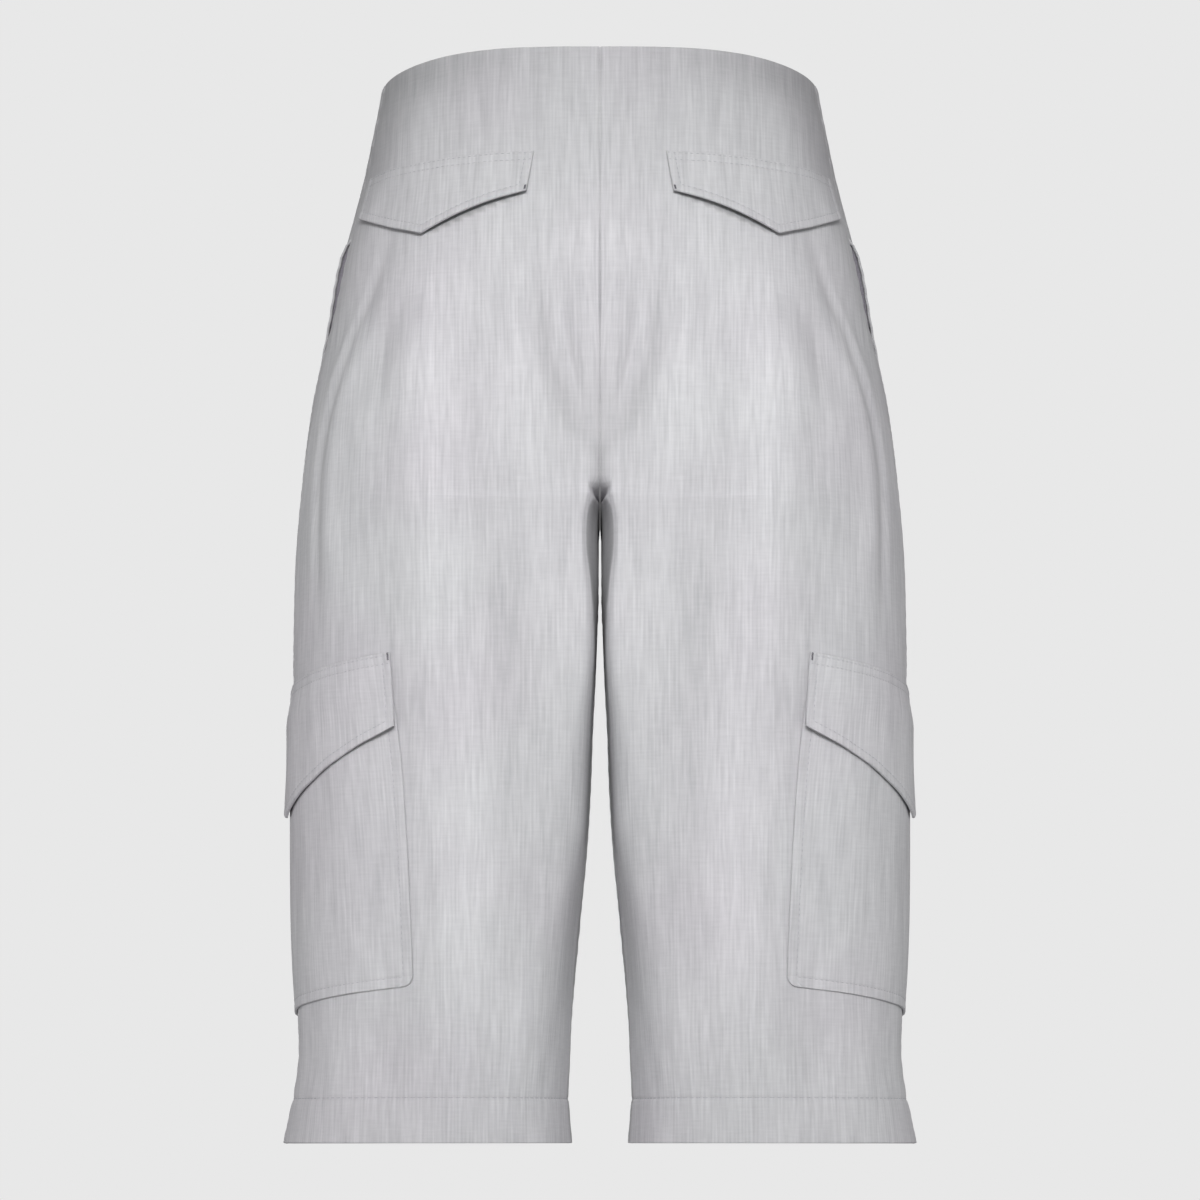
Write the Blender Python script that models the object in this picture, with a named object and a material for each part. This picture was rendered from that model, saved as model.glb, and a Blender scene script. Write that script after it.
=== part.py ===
# Bermuda shorts, filled out and hollow, as sewn from their cut pieces.
# Metres, +Z up.  The back faces -Y, the wearer's left leg lies at -X.
# The origin is the middle of the waist opening, level with its rim at the side seams.

import bpy
import numpy as np

# Cloth thicknesses, and gaps at seams, under patches and under inside pieces.
WALL = 0.0015
HEM_WALL = 0.0026
PATCH_WALL = 0.0010
SEAM_GAP = 0.0003
PATCH_GAP = 0.0005
INNER_GAP = 0.0006

# Heights.  The rim is highest along a level stretch at the centre back and lowest at the centre
# front, and the difference fades out below it.
CROTCH_Z = -0.254
HEM_Z = -0.6095
HEM_DEPTH = 0.025
HEM_STEP = 0.001
BACK_RISE = 0.0095
BACK_RISE_FLAT = 1.12
FRONT_DROP = 0.004
RISE_FADE = 0.060

# The half ring of the trunk: half width, depth to the back, depth to the front, squareness of each.
TRUNK_COLUMNS = ("z", "side", "back", "front", "back_power", "front_power")
TRUNK = (
    (0.000, 0.1285, 0.088, 0.092, 2.55, 2.20),
    (-0.025, 0.1327, 0.097, 0.098, 2.50, 2.20),
    (-0.050, 0.1375, 0.105, 0.103, 2.45, 2.20),
    (-0.075, 0.1436, 0.113, 0.107, 2.45, 2.20),
    (-0.100, 0.1500, 0.120, 0.109, 2.40, 2.25),
    (-0.144, 0.1580, 0.129, 0.110, 2.40, 2.30),
    (-0.190, 0.1683, 0.132, 0.110, 2.50, 2.40),
    (-0.225, 0.1732, 0.129, 0.108, 2.70, 2.50),
    (-0.254, 0.1750, 0.124, 0.105, 2.90, 2.60),
)

# The ring of the left leg: outermost and innermost reach from the centre plane, depths as above,
# squareness all round and at the inner corner of the back, and how far that corner draws away from
# the centre plane.  The corner and its drawing away lie at angles and cover spans, in degrees.
LEG_COLUMNS = ("z", "outer", "inner", "back", "front", "power", "corner_power", "tuck")
LEG = (
    (-0.100, 0.1500, 0.0008, 0.1200, 0.1080, 2.20, 6.0, 0.0000),
    (-0.144, 0.1579, 0.0008, 0.1287, 0.1077, 2.20, 8.0, 0.0000),
    (-0.190, 0.1664, 0.0008, 0.1318, 0.1077, 2.20, 10.0, 0.0000),
    (-0.225, 0.1717, 0.0008, 0.1288, 0.1066, 2.20, 12.0, 0.0000),
    (-0.254, 0.1746, 0.0008, 0.1240, 0.1040, 2.20, 14.0, 0.0005),
    (-0.262, 0.1751, 0.0011, 0.1220, 0.1030, 2.20, 14.0, 0.0025),
    (-0.279, 0.1759, 0.0011, 0.1178, 0.1011, 2.18, 14.0, 0.0048),
    (-0.300, 0.1765, 0.0011, 0.1130, 0.0990, 2.15, 14.0, 0.0036),
    (-0.335, 0.1770, 0.0024, 0.1060, 0.0960, 2.10, 12.0, 0.0004),
    (-0.365, 0.1757, 0.0038, 0.1010, 0.0930, 2.05, 10.0, 0.0000),
    (-0.440, 0.1749, 0.0068, 0.0920, 0.0880, 2.05, 6.0, 0.0000),
    (-0.495, 0.1744, 0.0120, 0.0880, 0.0850, 2.05, 4.0, 0.0000),
    (-0.540, 0.1731, 0.0158, 0.0860, 0.0840, 2.05, 3.0, 0.0000),
    (-0.562, 0.1724, 0.0169, 0.0850, 0.0840, 2.05, 2.6, 0.0000),
    (-0.585, 0.1753, 0.0180, 0.0850, 0.0840, 2.05, 2.4, 0.0000),
    (-0.6095, 0.1802, 0.0163, 0.0860, 0.0850, 2.05, 2.4, 0.0000),
)
CORNER_ANGLE = 48.0
CORNER_SPAN = 27.0
TUCK_ANGLE = 42.0
TUCK_SPAN = 22.0

# The rise: where the centre seams leave the trunk's ring, how late they turn under, how far to the
# front of the leg's innermost point the inseam runs, in degrees, and the share of the panel beside
# the centre seams that turns under with them.
RISE_START_Z = -0.115
BACK_RISE_POWER = 12.0
FRONT_RISE_POWER = 6.0
INSEAM_TURN = 8.0
SEAM_START = 0.36
SEAM_ZONE = 0.22

# Columns of the trunk: crowded beside the centre seams at the waist, and from one height to another
# moved to lie above the leg's, no closer to the centre plane than a width times their share.
COLUMN_CROWDING = 0.8
FORK_WIDTH = 0.020
FORK_TOP_Z = -0.080
FORK_LOW_Z = -0.230
FORK_STEPS = 400

# How far behind the widest point the side seam runs, in degrees: more beside the pocket openings
# than on the leg.
SEAM_SET_BACK = 13.0
LEG_SEAM_SET_BACK = 2.0
SET_BACK_TOP_Z = -0.120
SET_BACK_LOW_Z = -0.250

# The side pocket's opening: the front panel's edge stands off, over a few columns.
SLIT_TOP_Z = -0.062
SLIT_BOTTOM_Z = -0.168
SLIT_STAND_OFF = 0.0030
SLIT_SPREAD = 3.0

# The largest folds: ends as seen from the back or the front (distance from the centre plane and
# height), half width and height of the ridge, with troughs negative.  They fade out over a share of
# their length at both ends, and over a share of the panel beside its side seam.
FOLD_FADE = 0.35
FOLD_SIDE_FADE = 0.17
FOLD_COLUMNS = ("x_top", "z_top", "x_low", "z_low", "half_width", "height")
BACK_FOLDS = (
    (0.128, -0.092, 0.150, -0.170, 0.010, -0.0022),
    (0.150, -0.160, 0.165, -0.290, 0.010, -0.0022),
    (0.094, -0.115, 0.100, -0.200, 0.020, 0.0018),
    (0.040, -0.090, 0.012, -0.225, 0.012, -0.0012),
    (0.060, -0.120, 0.030, -0.225, 0.014, 0.0012),
    (0.060, -0.300, 0.070, -0.520, 0.018, -0.0018),
    (0.090, -0.280, 0.088, -0.600, 0.022, 0.0020),
)
FRONT_FOLDS = (
    (0.075, -0.020, 0.088, -0.300, 0.016, 0.0016),
    (0.048, -0.150, 0.020, -0.235, 0.012, -0.0020),
    (0.088, -0.300, 0.090, -0.600, 0.020, 0.0022),
    (0.055, -0.330, 0.060, -0.540, 0.016, -0.0016),
)

# Grid of each panel: columns by their share from its inner edge to the side seam, and rows by
# height, as (from, to, steps).
FINE_SPLIT = 3
COLUMN_ZONES = (
    (0.00, 0.30, 4),
    (0.30, 0.44, 4),
    (0.44, 1.00, 13),
)
ROW_ZONES = (
    (0.000, -0.190, 9),
    (-0.190, -0.222, 2),
    (-0.222, -0.238, 2),
    (-0.238, CROTCH_Z, 4),
    (CROTCH_Z, -0.264, 1),
    (-0.264, -0.320, 3),
    (-0.320, -0.555, 6),
    (-0.555, HEM_Z + HEM_DEPTH + HEM_STEP, 1),
    (HEM_Z + HEM_DEPTH + HEM_STEP, HEM_Z + HEM_DEPTH, 1),
    (HEM_Z + HEM_DEPTH, HEM_Z, 2),
)

# The back flap, measured around the seat from the centre-back seam, heights from the waist.
BACK_FLAP = {
    "inner_top": (0.037, -0.056),
    "outer_top": (0.155, -0.059),
    "inner_low": (0.041, -0.082),
    "outer_low": (0.159, -0.084),
    "point": (0.52, -0.104),
    "lift": 0.0018,
    "columns": 16,
    "rows": 4,
}

# The cargo flap and pocket, measured around the leg from the side seam, + to the front.  The tilt
# is their fall per metre around, the flare is how much further back the flap's rear corner lies at
# its top, and the step is the share of the flap in which it climbs over the pocket's top edge.
CARGO_REAR = -0.1165
CARGO_FRONT = 0.0835
CARGO_TOP_Z = -0.339
CARGO_TILT = 0.105
CARGO_FLAP_FLARE = 0.003
CARGO_FLAP_SIDE = 0.040
CARGO_FLAP_POINT = 0.076
CARGO_POCKET_TOP = 0.014
CARGO_POCKET_LENGTH = 0.184
CARGO_FULLNESS = 0.0004
CARGO_FLAP_LIFT = 0.0010
CARGO_FLAP_STEP = 0.25
CARGO_COLUMNS = 28
CARGO_POCKET_ROWS = 6
CARGO_FLAP_ROWS = 4

# The side pocket's bag, inside, measured around from the side seam, + to the front.
BAG_REAR = -0.014
BAG_FRONT = 0.105
BAG_TOP_Z = -0.052
BAG_LOW_Z = -0.225
BAG_COLUMNS = 10
BAG_ROWS = 7

# The fly, inside the centre front, measured from the centre-front seam, + to the left.
SHIELD_LEFT = 0.010
SHIELD_RIGHT = -0.028
SHIELD_LENGTH = 0.160
ZIP_HALF_WIDTH = 0.012
ZIP_LENGTH = 0.150
FLY_TOP = 0.006
FLY_ROWS = 8
ZIP_COLUMNS = 4
SHIELD_COLUMNS = 6

CLOTH_COLOUR = (0.55, 0.55, 0.57, 1.0)
ZIP_COLOUR = (0.42, 0.42, 0.44, 1.0)
CLOTH_ROUGHNESS = 0.85
SHARP_ANGLE = 40.0


def clear_scene():
    for item in list(bpy.data.objects):
        bpy.data.objects.remove(item, do_unlink=True)


def column(table, names, name):
    place = names.index(name)
    return np.array([row[place] for row in table])


def smooth_between(z, table, names, name):
    # A cubic through the table's rows, with each row's slope taken from its neighbours.
    heights = column(table, names, "z")[::-1]
    values = column(table, names, name)[::-1]
    slopes = np.gradient(values, heights)
    z = np.clip(z, heights[0], heights[-1])
    low = np.clip(np.searchsorted(heights, z) - 1, 0, len(heights) - 2)
    span = heights[low + 1] - heights[low]
    t = (z - heights[low]) / span
    rest = 1 - t
    ends = values[low] * (1 + 2 * t) * rest**2 + values[low + 1] * (3 - 2 * t) * t**2
    return ends + span * (slopes[low] * t * rest**2 - slopes[low + 1] * rest * t**2)


def smooth_step(value):
    value = np.clip(value, 0.0, 1.0)
    return value * value * (3 - 2 * value)


def bump(value, middle, span):
    return np.exp(-(((value - middle) / span) ** 2))


def ring_reach(across, along, power):
    # Distance from the centre to a rounded rectangle, for the two parts of a direction over its
    # half sizes.
    return (np.abs(across) ** power + np.abs(along) ** power) ** (-1 / power)


def zone_places(zones, split):
    # Even steps from zone to zone, each split into finer ones.
    places = [zones[0][0]]
    for start, end, steps in zones:
        places.extend(np.linspace(start, end, steps * split + 1)[1:])
    return np.array(places)


def trunk_ring(angle, z):
    # Angle 0 is the centre back, a quarter turn the side, a half turn the centre front.
    side = smooth_between(z, TRUNK, TRUNK_COLUMNS, "side")
    back = smooth_between(z, TRUNK, TRUNK_COLUMNS, "back")
    front = smooth_between(z, TRUNK, TRUNK_COLUMNS, "front")
    back_power = smooth_between(z, TRUNK, TRUNK_COLUMNS, "back_power")
    front_power = smooth_between(z, TRUNK, TRUNK_COLUMNS, "front_power")
    to_front = smooth_step((1 - np.cos(angle)) / 2)
    power = back_power + (front_power - back_power) * to_front
    depth = np.where(np.cos(angle) > 0, back, front)
    reach = ring_reach(np.sin(angle) / side, np.cos(angle) / depth, power)
    return -reach * np.sin(angle), -reach * np.cos(angle)


def leg_ring(angle, z):
    # Angle 0 is the innermost point, a quarter turn the back, a half turn the outer side.
    outer = smooth_between(z, LEG, LEG_COLUMNS, "outer")
    inner = smooth_between(z, LEG, LEG_COLUMNS, "inner")
    back = smooth_between(z, LEG, LEG_COLUMNS, "back")
    front = smooth_between(z, LEG, LEG_COLUMNS, "front")
    power = smooth_between(z, LEG, LEG_COLUMNS, "power")
    corner_power = smooth_between(z, LEG, LEG_COLUMNS, "corner_power")
    power = power + (corner_power - power) * bump(angle, np.radians(CORNER_ANGLE), np.radians(CORNER_SPAN))
    half_width = (outer - inner) / 2
    depth = np.where(np.sin(angle) > 0, back, front)
    reach = ring_reach(np.cos(angle) / half_width, np.sin(angle) / depth, power)
    tuck = smooth_between(z, LEG, LEG_COLUMNS, "tuck")
    tuck = tuck * bump(angle, np.radians(TUCK_ANGLE), np.radians(TUCK_SPAN))
    return reach * np.cos(angle) - (outer + inner) / 2 - tuck, -reach * np.sin(angle)


def fold_height(x, z, folds):
    # Each fold is a rounded ridge along a straight line, fading out towards both its ends.
    height = np.zeros_like(x)
    for row in folds:
        fold = dict(zip(FOLD_COLUMNS, row))
        run_x = fold["x_low"] - fold["x_top"]
        run_z = fold["z_low"] - fold["z_top"]
        length = np.hypot(run_x, run_z)
        from_x = x - fold["x_top"]
        from_z = z - fold["z_top"]
        along = (from_x * run_x + from_z * run_z) / length**2
        off = (from_x * run_z - from_z * run_x) / length
        fade = smooth_step(along / FOLD_FADE) * smooth_step((1 - along) / FOLD_FADE)
        height += fold["height"] * fade * np.exp(-((off / fold["half_width"]) ** 2))
    return height


def panel_share(step):
    # Turn of the trunk for an even step along the leg: slow beside the centre seams, where the
    # leg's inner face has to fit, and even at the side.
    return step - COLUMN_CROWDING * step * (1 - step) ** 2


def fork_share(step, start, leg_start):
    # Turn of the trunk that lies, at the crotch, as far from the centre plane as the leg's ring
    # does at the same step, as a share of the way to the side.
    fine = np.linspace(0, 1, FORK_STEPS + 1)
    crotch = np.full_like(fine, CROTCH_Z)
    side_angle = np.pi / 2 - np.radians(LEG_SEAM_SET_BACK)
    trunk_x, _ = trunk_ring(start + (side_angle - start) * fine, crotch)
    leg_x, _ = leg_ring(leg_start + (2 * side_angle - leg_start) * fine, crotch)
    wanted = np.maximum(np.maximum.accumulate(-leg_x), FORK_WIDTH * fine)
    share = np.interp(wanted, np.maximum.accumulate(-trunk_x), fine)
    share = share + (fine - share) * smooth_step(2 * fine - 1)
    return np.interp(step, fine, share)


def trunk_turn(step, z, side_angle, start, leg_start):
    # From the centre seam at its start to the side seam, even above and over the fork below.
    low = smooth_step((FORK_TOP_Z - z) / (FORK_TOP_Z - FORK_LOW_Z))
    even = panel_share(step)
    share = even + (fork_share(step, start, leg_start) - even) * low
    return start + (side_angle - start) * share


def leg_form(split):
    # The left half as one grid: rows from the rim to the hem, columns from the centre back or
    # inseam, round the side seam, to the centre front or inseam.
    step = zone_places(COLUMN_ZONES, split)
    back_step, front_step = step, step[-2::-1]
    from_seam = np.concatenate([back_step, front_step])
    z = zone_places(ROW_ZONES, split)[:, None]
    low = smooth_step((SET_BACK_TOP_Z - z) / (SET_BACK_TOP_Z - SET_BACK_LOW_Z))
    set_back = np.radians(SEAM_SET_BACK + (LEG_SEAM_SET_BACK - SEAM_SET_BACK) * low)
    side_angle = np.pi / 2 - set_back
    back_start = -np.radians(INSEAM_TURN)
    front_start = 2 * np.pi - np.radians(INSEAM_TURN)
    back_turn = trunk_turn(back_step, z, side_angle, 0.0, back_start)
    front_turn = trunk_turn(front_step, z, side_angle, np.pi, front_start)
    turn = np.concatenate([back_turn, front_turn], axis=1)
    back_leg = back_start + (2 * side_angle - back_start) * back_step
    front_leg = front_start + (2 * side_angle - front_start) * front_step
    leg_turn = np.concatenate([back_leg, front_leg], axis=1)
    z = np.broadcast_to(z, turn.shape)
    trunk_x, trunk_y = trunk_ring(turn, z)
    leg_x, leg_y = leg_ring(leg_turn, z)
    fall = np.clip((RISE_START_Z - z) / (RISE_START_Z - CROTCH_Z), 0, 1)
    to_front = smooth_step((1 - np.cos(turn)) / 2)
    rise_power = BACK_RISE_POWER + (FRONT_RISE_POWER - BACK_RISE_POWER) * to_front
    off_seam = smooth_step((from_seam - SEAM_START) / SEAM_ZONE)
    weight = fall**rise_power * (1 - off_seam) + smooth_step(fall) * off_seam
    x = trunk_x + (leg_x - trunk_x) * weight
    y = trunk_y + (leg_y - trunk_y) * weight
    rim = BACK_RISE * smooth_step(BACK_RISE_FLAT * np.cos(turn))
    rim = rim - FRONT_DROP * smooth_step(-np.cos(turn))
    lifted = z + rim * smooth_step(1 + z / RISE_FADE)
    points = np.stack([x, y, lifted], axis=2)
    normals = grid_normals(points)
    on_back = np.arange(turn.shape[1]) < len(back_step)
    back_folds = fold_height(-x, lifted, BACK_FOLDS)
    front_folds = fold_height(-x, lifted, FRONT_FOLDS)
    folds = np.where(on_back, back_folds, front_folds) * smooth_step((1 - from_seam) / FOLD_SIDE_FADE)
    points = points + normals * folds[:, :, None]
    points[:, :, 0] = np.minimum(points[:, :, 0], -SEAM_GAP)
    for edge in (0, -1):
        points[z[:, 0] > CROTCH_Z - SEAM_GAP, edge, 0] = -SEAM_GAP / 2
    return points, grid_normals(points)


def grid_normals(points):
    # Normals from each point's neighbours.  Above the crotch the two centre edges lie in the centre
    # plane and face across their own seam, and below it they meet at the inseam and share one.
    down = np.gradient(points, axis=0)
    around = np.gradient(points, axis=1)
    normals = np.cross(around, down)
    above = points[:, 0, 2] > CROTCH_Z + SEAM_GAP
    shared = normals[~above, 0] + normals[~above, -1]
    for edge, facing in ((0, -1), (-1, 1)):
        seam = down[above, edge]
        flat = [0 * seam[:, 0], -facing * seam[:, 2], facing * seam[:, 1]]
        normals[above, edge] = np.stack(flat, axis=1)
        normals[~above, edge] = shared
    return normals / np.linalg.norm(normals, axis=2)[:, :, None]


def parted(points, first, last):
    # The columns of one panel, with its two edges drawn in by half a seam gap.
    panel = points[:, first:last + 1].copy()
    for edge, neighbour in ((0, 1), (-1, -2)):
        run = panel[:, neighbour] - panel[:, edge]
        run /= np.linalg.norm(run, axis=1)[:, None]
        panel[:, edge] += run * SEAM_GAP / 2
    return panel


def slit_stand_off(points):
    # How far the front panel's edge stands off along the pocket's opening.
    z = points[:, :1, 2]
    along = np.clip((SLIT_TOP_Z - z) / (SLIT_TOP_Z - SLIT_BOTTOM_Z), 0, 1)
    from_edge = np.arange(points.shape[1]) / SLIT_SPREAD
    return SLIT_STAND_OFF * np.sin(np.pi * along) * smooth_step(1 - from_edge)


def wall_depth(points):
    # The hem is turned up inside, so the wall is doubled there.
    hem_top = HEM_Z + HEM_DEPTH + HEM_STEP / 2
    return np.where(points[:, :, 2] < hem_top, HEM_WALL, WALL)[:, :, None]


def cloth_material(name, colour):
    material = bpy.data.materials.new(name)
    material.use_nodes = True
    shader = material.node_tree.nodes["Principled BSDF"]
    shader.inputs["Base Color"].default_value = colour
    shader.inputs["Roughness"].default_value = CLOTH_ROUGHNESS
    shader.inputs["Metallic"].default_value = 0.0
    return material


def wall_object(name, outer, inner, colour=CLOTH_COLOUR):
    # A closed wall between two grids of points, rim faces included.
    rows, columns = outer.shape[:2]
    count = rows * columns
    index = np.arange(count).reshape(rows, columns)
    corners = (index[:-1, :-1], index[1:, :-1], index[1:, 1:], index[:-1, 1:])
    outside = np.stack([corner.ravel() for corner in corners], axis=1)
    inside = outside[:, ::-1] + count
    border = np.concatenate([index[0, :-1], index[:-1, -1], index[-1, :0:-1], index[:0:-1, 0]])
    following = np.roll(border, -1)
    rim = np.stack([border, following, following + count, border + count], axis=1)
    vertices = np.concatenate([outer.reshape(-1, 3), inner.reshape(-1, 3)])
    faces = np.concatenate([outside, inside, rim])
    one, two, three, four = (vertices[faces[:, corner]] for corner in range(4))
    volume = np.sum(one * (np.cross(two, three) + np.cross(three, four)))
    if volume < 0:
        faces = faces[:, ::-1]
    mesh = bpy.data.meshes.new(name)
    mesh.from_pydata(vertices.tolist(), [], faces.tolist())
    mesh.validate()
    mesh.shade_smooth()
    mesh.set_sharp_from_angle(angle=np.radians(SHARP_ANGLE))
    mesh.materials.append(cloth_material(name + "_cloth", colour))
    item = bpy.data.objects.new(name, mesh)
    bpy.context.scene.collection.objects.link(item)
    return item


def mirrored(points):
    return points * np.array([-1.0, 1.0, 1.0])


def both_sides(name, outer, inner):
    wall_object(name + "_left", outer, inner)
    wall_object(name + "_right", mirrored(outer), mirrored(inner))


def blend_row(grid, row):
    low = np.clip(int(row), 0, grid.shape[0] - 2)
    return grid[low] + (grid[low + 1] - grid[low]) * (row - low)


def spot(form, around, z, start):
    # The point of the leg's face at a distance around from a starting column, and at a height.
    points, normals = form
    row = np.interp(-z, -points[:, start, 2], np.arange(points.shape[0]))
    for _ in range(2):
        line = blend_row(points, row)
        steps = np.linalg.norm(np.diff(line, axis=0), axis=1)
        reach = np.concatenate([[0.0], np.cumsum(steps)])
        reach -= reach[start]
        place = np.interp(around, reach, np.arange(len(reach)))
        low = min(int(place), points.shape[1] - 2)
        part = place - low
        heights = points[:, low, 2] * (1 - part) + points[:, low + 1, 2] * part
        row = np.interp(-z, -heights, np.arange(points.shape[0]))
    face = blend_row(points, row)
    facing = blend_row(normals, row)
    point = face[low] * (1 - part) + face[low + 1] * part
    normal = facing[low] * (1 - part) + facing[low + 1] * part
    return point, normal / np.linalg.norm(normal)


def patch_grid(form, places, start):
    # Points and normals of the leg's face under a grid of (around, height) places.
    found = [[spot(form, around, z, start) for around, z in row] for row in places]
    points = np.array([[pair[0] for pair in row] for row in found])
    normals = np.array([[pair[1] for pair in row] for row in found])
    return points, normals


def pointed_flap_places(inner_top, outer_top, inner_low, outer_low, point, columns, rows):
    # Rows of places from the flap's straight top to its lower edge, which dips to one point.
    point_share, point_z = point
    places = []
    for j in range(rows + 1):
        down = j / rows
        row = []
        for i in range(columns + 1):
            share = i / columns
            top_around = inner_top[0] + (outer_top[0] - inner_top[0]) * share
            top_z = inner_top[1] + (outer_top[1] - inner_top[1]) * share
            low_around = inner_low[0] + (outer_low[0] - inner_low[0]) * share
            low_z = np.interp(share, [0, point_share, 1], [inner_low[1], point_z, outer_low[1]])
            row.append((top_around + (low_around - top_around) * down, top_z + (low_z - top_z) * down))
        places.append(row)
    return places


def laid_on(points, normals, stand_off, depth):
    # The outer and inner faces of a piece that lies on other cloth.
    inner = points + normals * stand_off
    return inner + normals * depth, inner


def build_panels(form):
    points, normals = form
    side = len(zone_places(COLUMN_ZONES, 1)) - 1
    last = points.shape[1] - 1
    depth = wall_depth(points)
    inside = points - normals * depth
    inside[:, :, 0] = np.minimum(inside[:, :, 0], -SEAM_GAP / 2)
    both_sides("back", parted(points, 0, side), parted(inside, 0, side))
    front_out = parted(points, side, last)
    front_in = parted(inside, side, last)
    stand_off = normals[:, side:] * slit_stand_off(front_out)[:, :, None]
    both_sides("front", front_out + stand_off, front_in + stand_off)


def build_back_flaps(form):
    flap = BACK_FLAP
    places = pointed_flap_places(
        flap["inner_top"], flap["outer_top"], flap["inner_low"], flap["outer_low"],
        flap["point"], flap["columns"], flap["rows"])
    points, normals = patch_grid(form, places, 0)
    down = np.linspace(0, 1, flap["rows"] + 1)[:, None, None]
    stand_off = PATCH_GAP + flap["lift"] * down**2
    both_sides("back_flap", *laid_on(points, normals, stand_off, PATCH_WALL))


def cargo_height(around, from_top):
    # The pocket is turned a little, so its lines fall towards the front.
    return CARGO_TOP_Z - from_top - CARGO_TILT * (around - CARGO_REAR)


def build_cargo_pockets(form):
    places = []
    for j in range(CARGO_POCKET_ROWS + 1):
        down = j / CARGO_POCKET_ROWS
        from_top = CARGO_POCKET_TOP + (CARGO_POCKET_LENGTH - CARGO_POCKET_TOP) * down
        row = []
        for i in range(CARGO_COLUMNS + 1):
            around = CARGO_REAR + (CARGO_FRONT - CARGO_REAR) * i / CARGO_COLUMNS
            row.append((around, cargo_height(around, from_top)))
        places.append(row)
    points, normals = patch_grid(form, places, form[0].shape[1] // 2)
    across = np.linspace(-1, 1, CARGO_COLUMNS + 1)[None, :, None]
    down = np.linspace(0, 1, CARGO_POCKET_ROWS + 1)[:, None, None]
    full = CARGO_FULLNESS * (1 - across**4) * (1 - down**4)
    both_sides("cargo_pocket", *laid_on(points, normals, PATCH_GAP + full, PATCH_WALL))


def build_cargo_flaps(form):
    places = []
    for j in range(CARGO_FLAP_ROWS + 1):
        down = j / CARGO_FLAP_ROWS
        row = []
        for i in range(CARGO_COLUMNS + 1):
            share = i / CARGO_COLUMNS
            around = CARGO_REAR + (CARGO_FRONT - CARGO_REAR) * share
            dip = 1 - abs(2 * share - 1)
            from_top = down * (CARGO_FLAP_SIDE + (CARGO_FLAP_POINT - CARGO_FLAP_SIDE) * dip)
            place = around - CARGO_FLAP_FLARE * (1 - down) * (1 - share)
            row.append((place, cargo_height(place, from_top)))
        places.append(row)
    points, normals = patch_grid(form, places, form[0].shape[1] // 2)
    down = np.linspace(0, 1, CARGO_FLAP_ROWS + 1)[:, None, None]
    over_pocket = (PATCH_GAP + PATCH_WALL + CARGO_FULLNESS) * smooth_step(down / CARGO_FLAP_STEP)
    stand_off = PATCH_GAP + over_pocket + CARGO_FLAP_LIFT * down**2
    both_sides("cargo_flap", *laid_on(points, normals, stand_off, PATCH_WALL))


def build_side_pockets(form):
    places = []
    for j in range(BAG_ROWS + 1):
        z = BAG_TOP_Z + (BAG_LOW_Z - BAG_TOP_Z) * j / BAG_ROWS
        row = []
        for i in range(BAG_COLUMNS + 1):
            row.append((BAG_REAR + (BAG_FRONT - BAG_REAR) * i / BAG_COLUMNS, z))
        places.append(row)
    points, normals = patch_grid(form, places, form[0].shape[1] // 2)
    both_sides("side_pocket", *laid_on(points, -normals, WALL + INNER_GAP, PATCH_WALL))


def build_strip(form, name, left, right, length, columns, stand_off, colour):
    # A flat strip inside the centre front, from one distance beside its seam to another.
    last = form[0].shape[1] - 1
    points = []
    normals = []
    for j in range(FLY_ROWS + 1):
        z = -FRONT_DROP - FLY_TOP - (length - FLY_TOP) * j / FLY_ROWS
        for i in range(columns + 1):
            aside = left + (right - left) * i / columns
            point, normal = spot(form, -abs(aside), z, last)
            points.append(mirrored(point) if aside < 0 else point)
            normals.append(mirrored(normal) if aside < 0 else normal)
    size = (FLY_ROWS + 1, columns + 1, 3)
    points = np.reshape(points, size)
    normals = np.reshape(normals, size)
    outer, inner = laid_on(points, -normals, stand_off, PATCH_WALL)
    wall_object(name, outer, inner, colour)


def build_fly(form):
    zip_off = WALL + INNER_GAP
    shield_off = zip_off + PATCH_WALL + INNER_GAP
    build_strip(form, "fly_zip", ZIP_HALF_WIDTH, -ZIP_HALF_WIDTH, ZIP_LENGTH, ZIP_COLUMNS,
                zip_off, ZIP_COLOUR)
    build_strip(form, "fly_shield", SHIELD_LEFT, SHIELD_RIGHT, SHIELD_LENGTH, SHIELD_COLUMNS,
                shield_off, CLOTH_COLOUR)


def main():
    clear_scene()
    form = leg_form(1)
    fine_form = leg_form(FINE_SPLIT)
    build_panels(form)
    build_back_flaps(fine_form)
    build_cargo_pockets(fine_form)
    build_cargo_flaps(fine_form)
    build_side_pockets(form)
    build_fly(form)


main()
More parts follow.
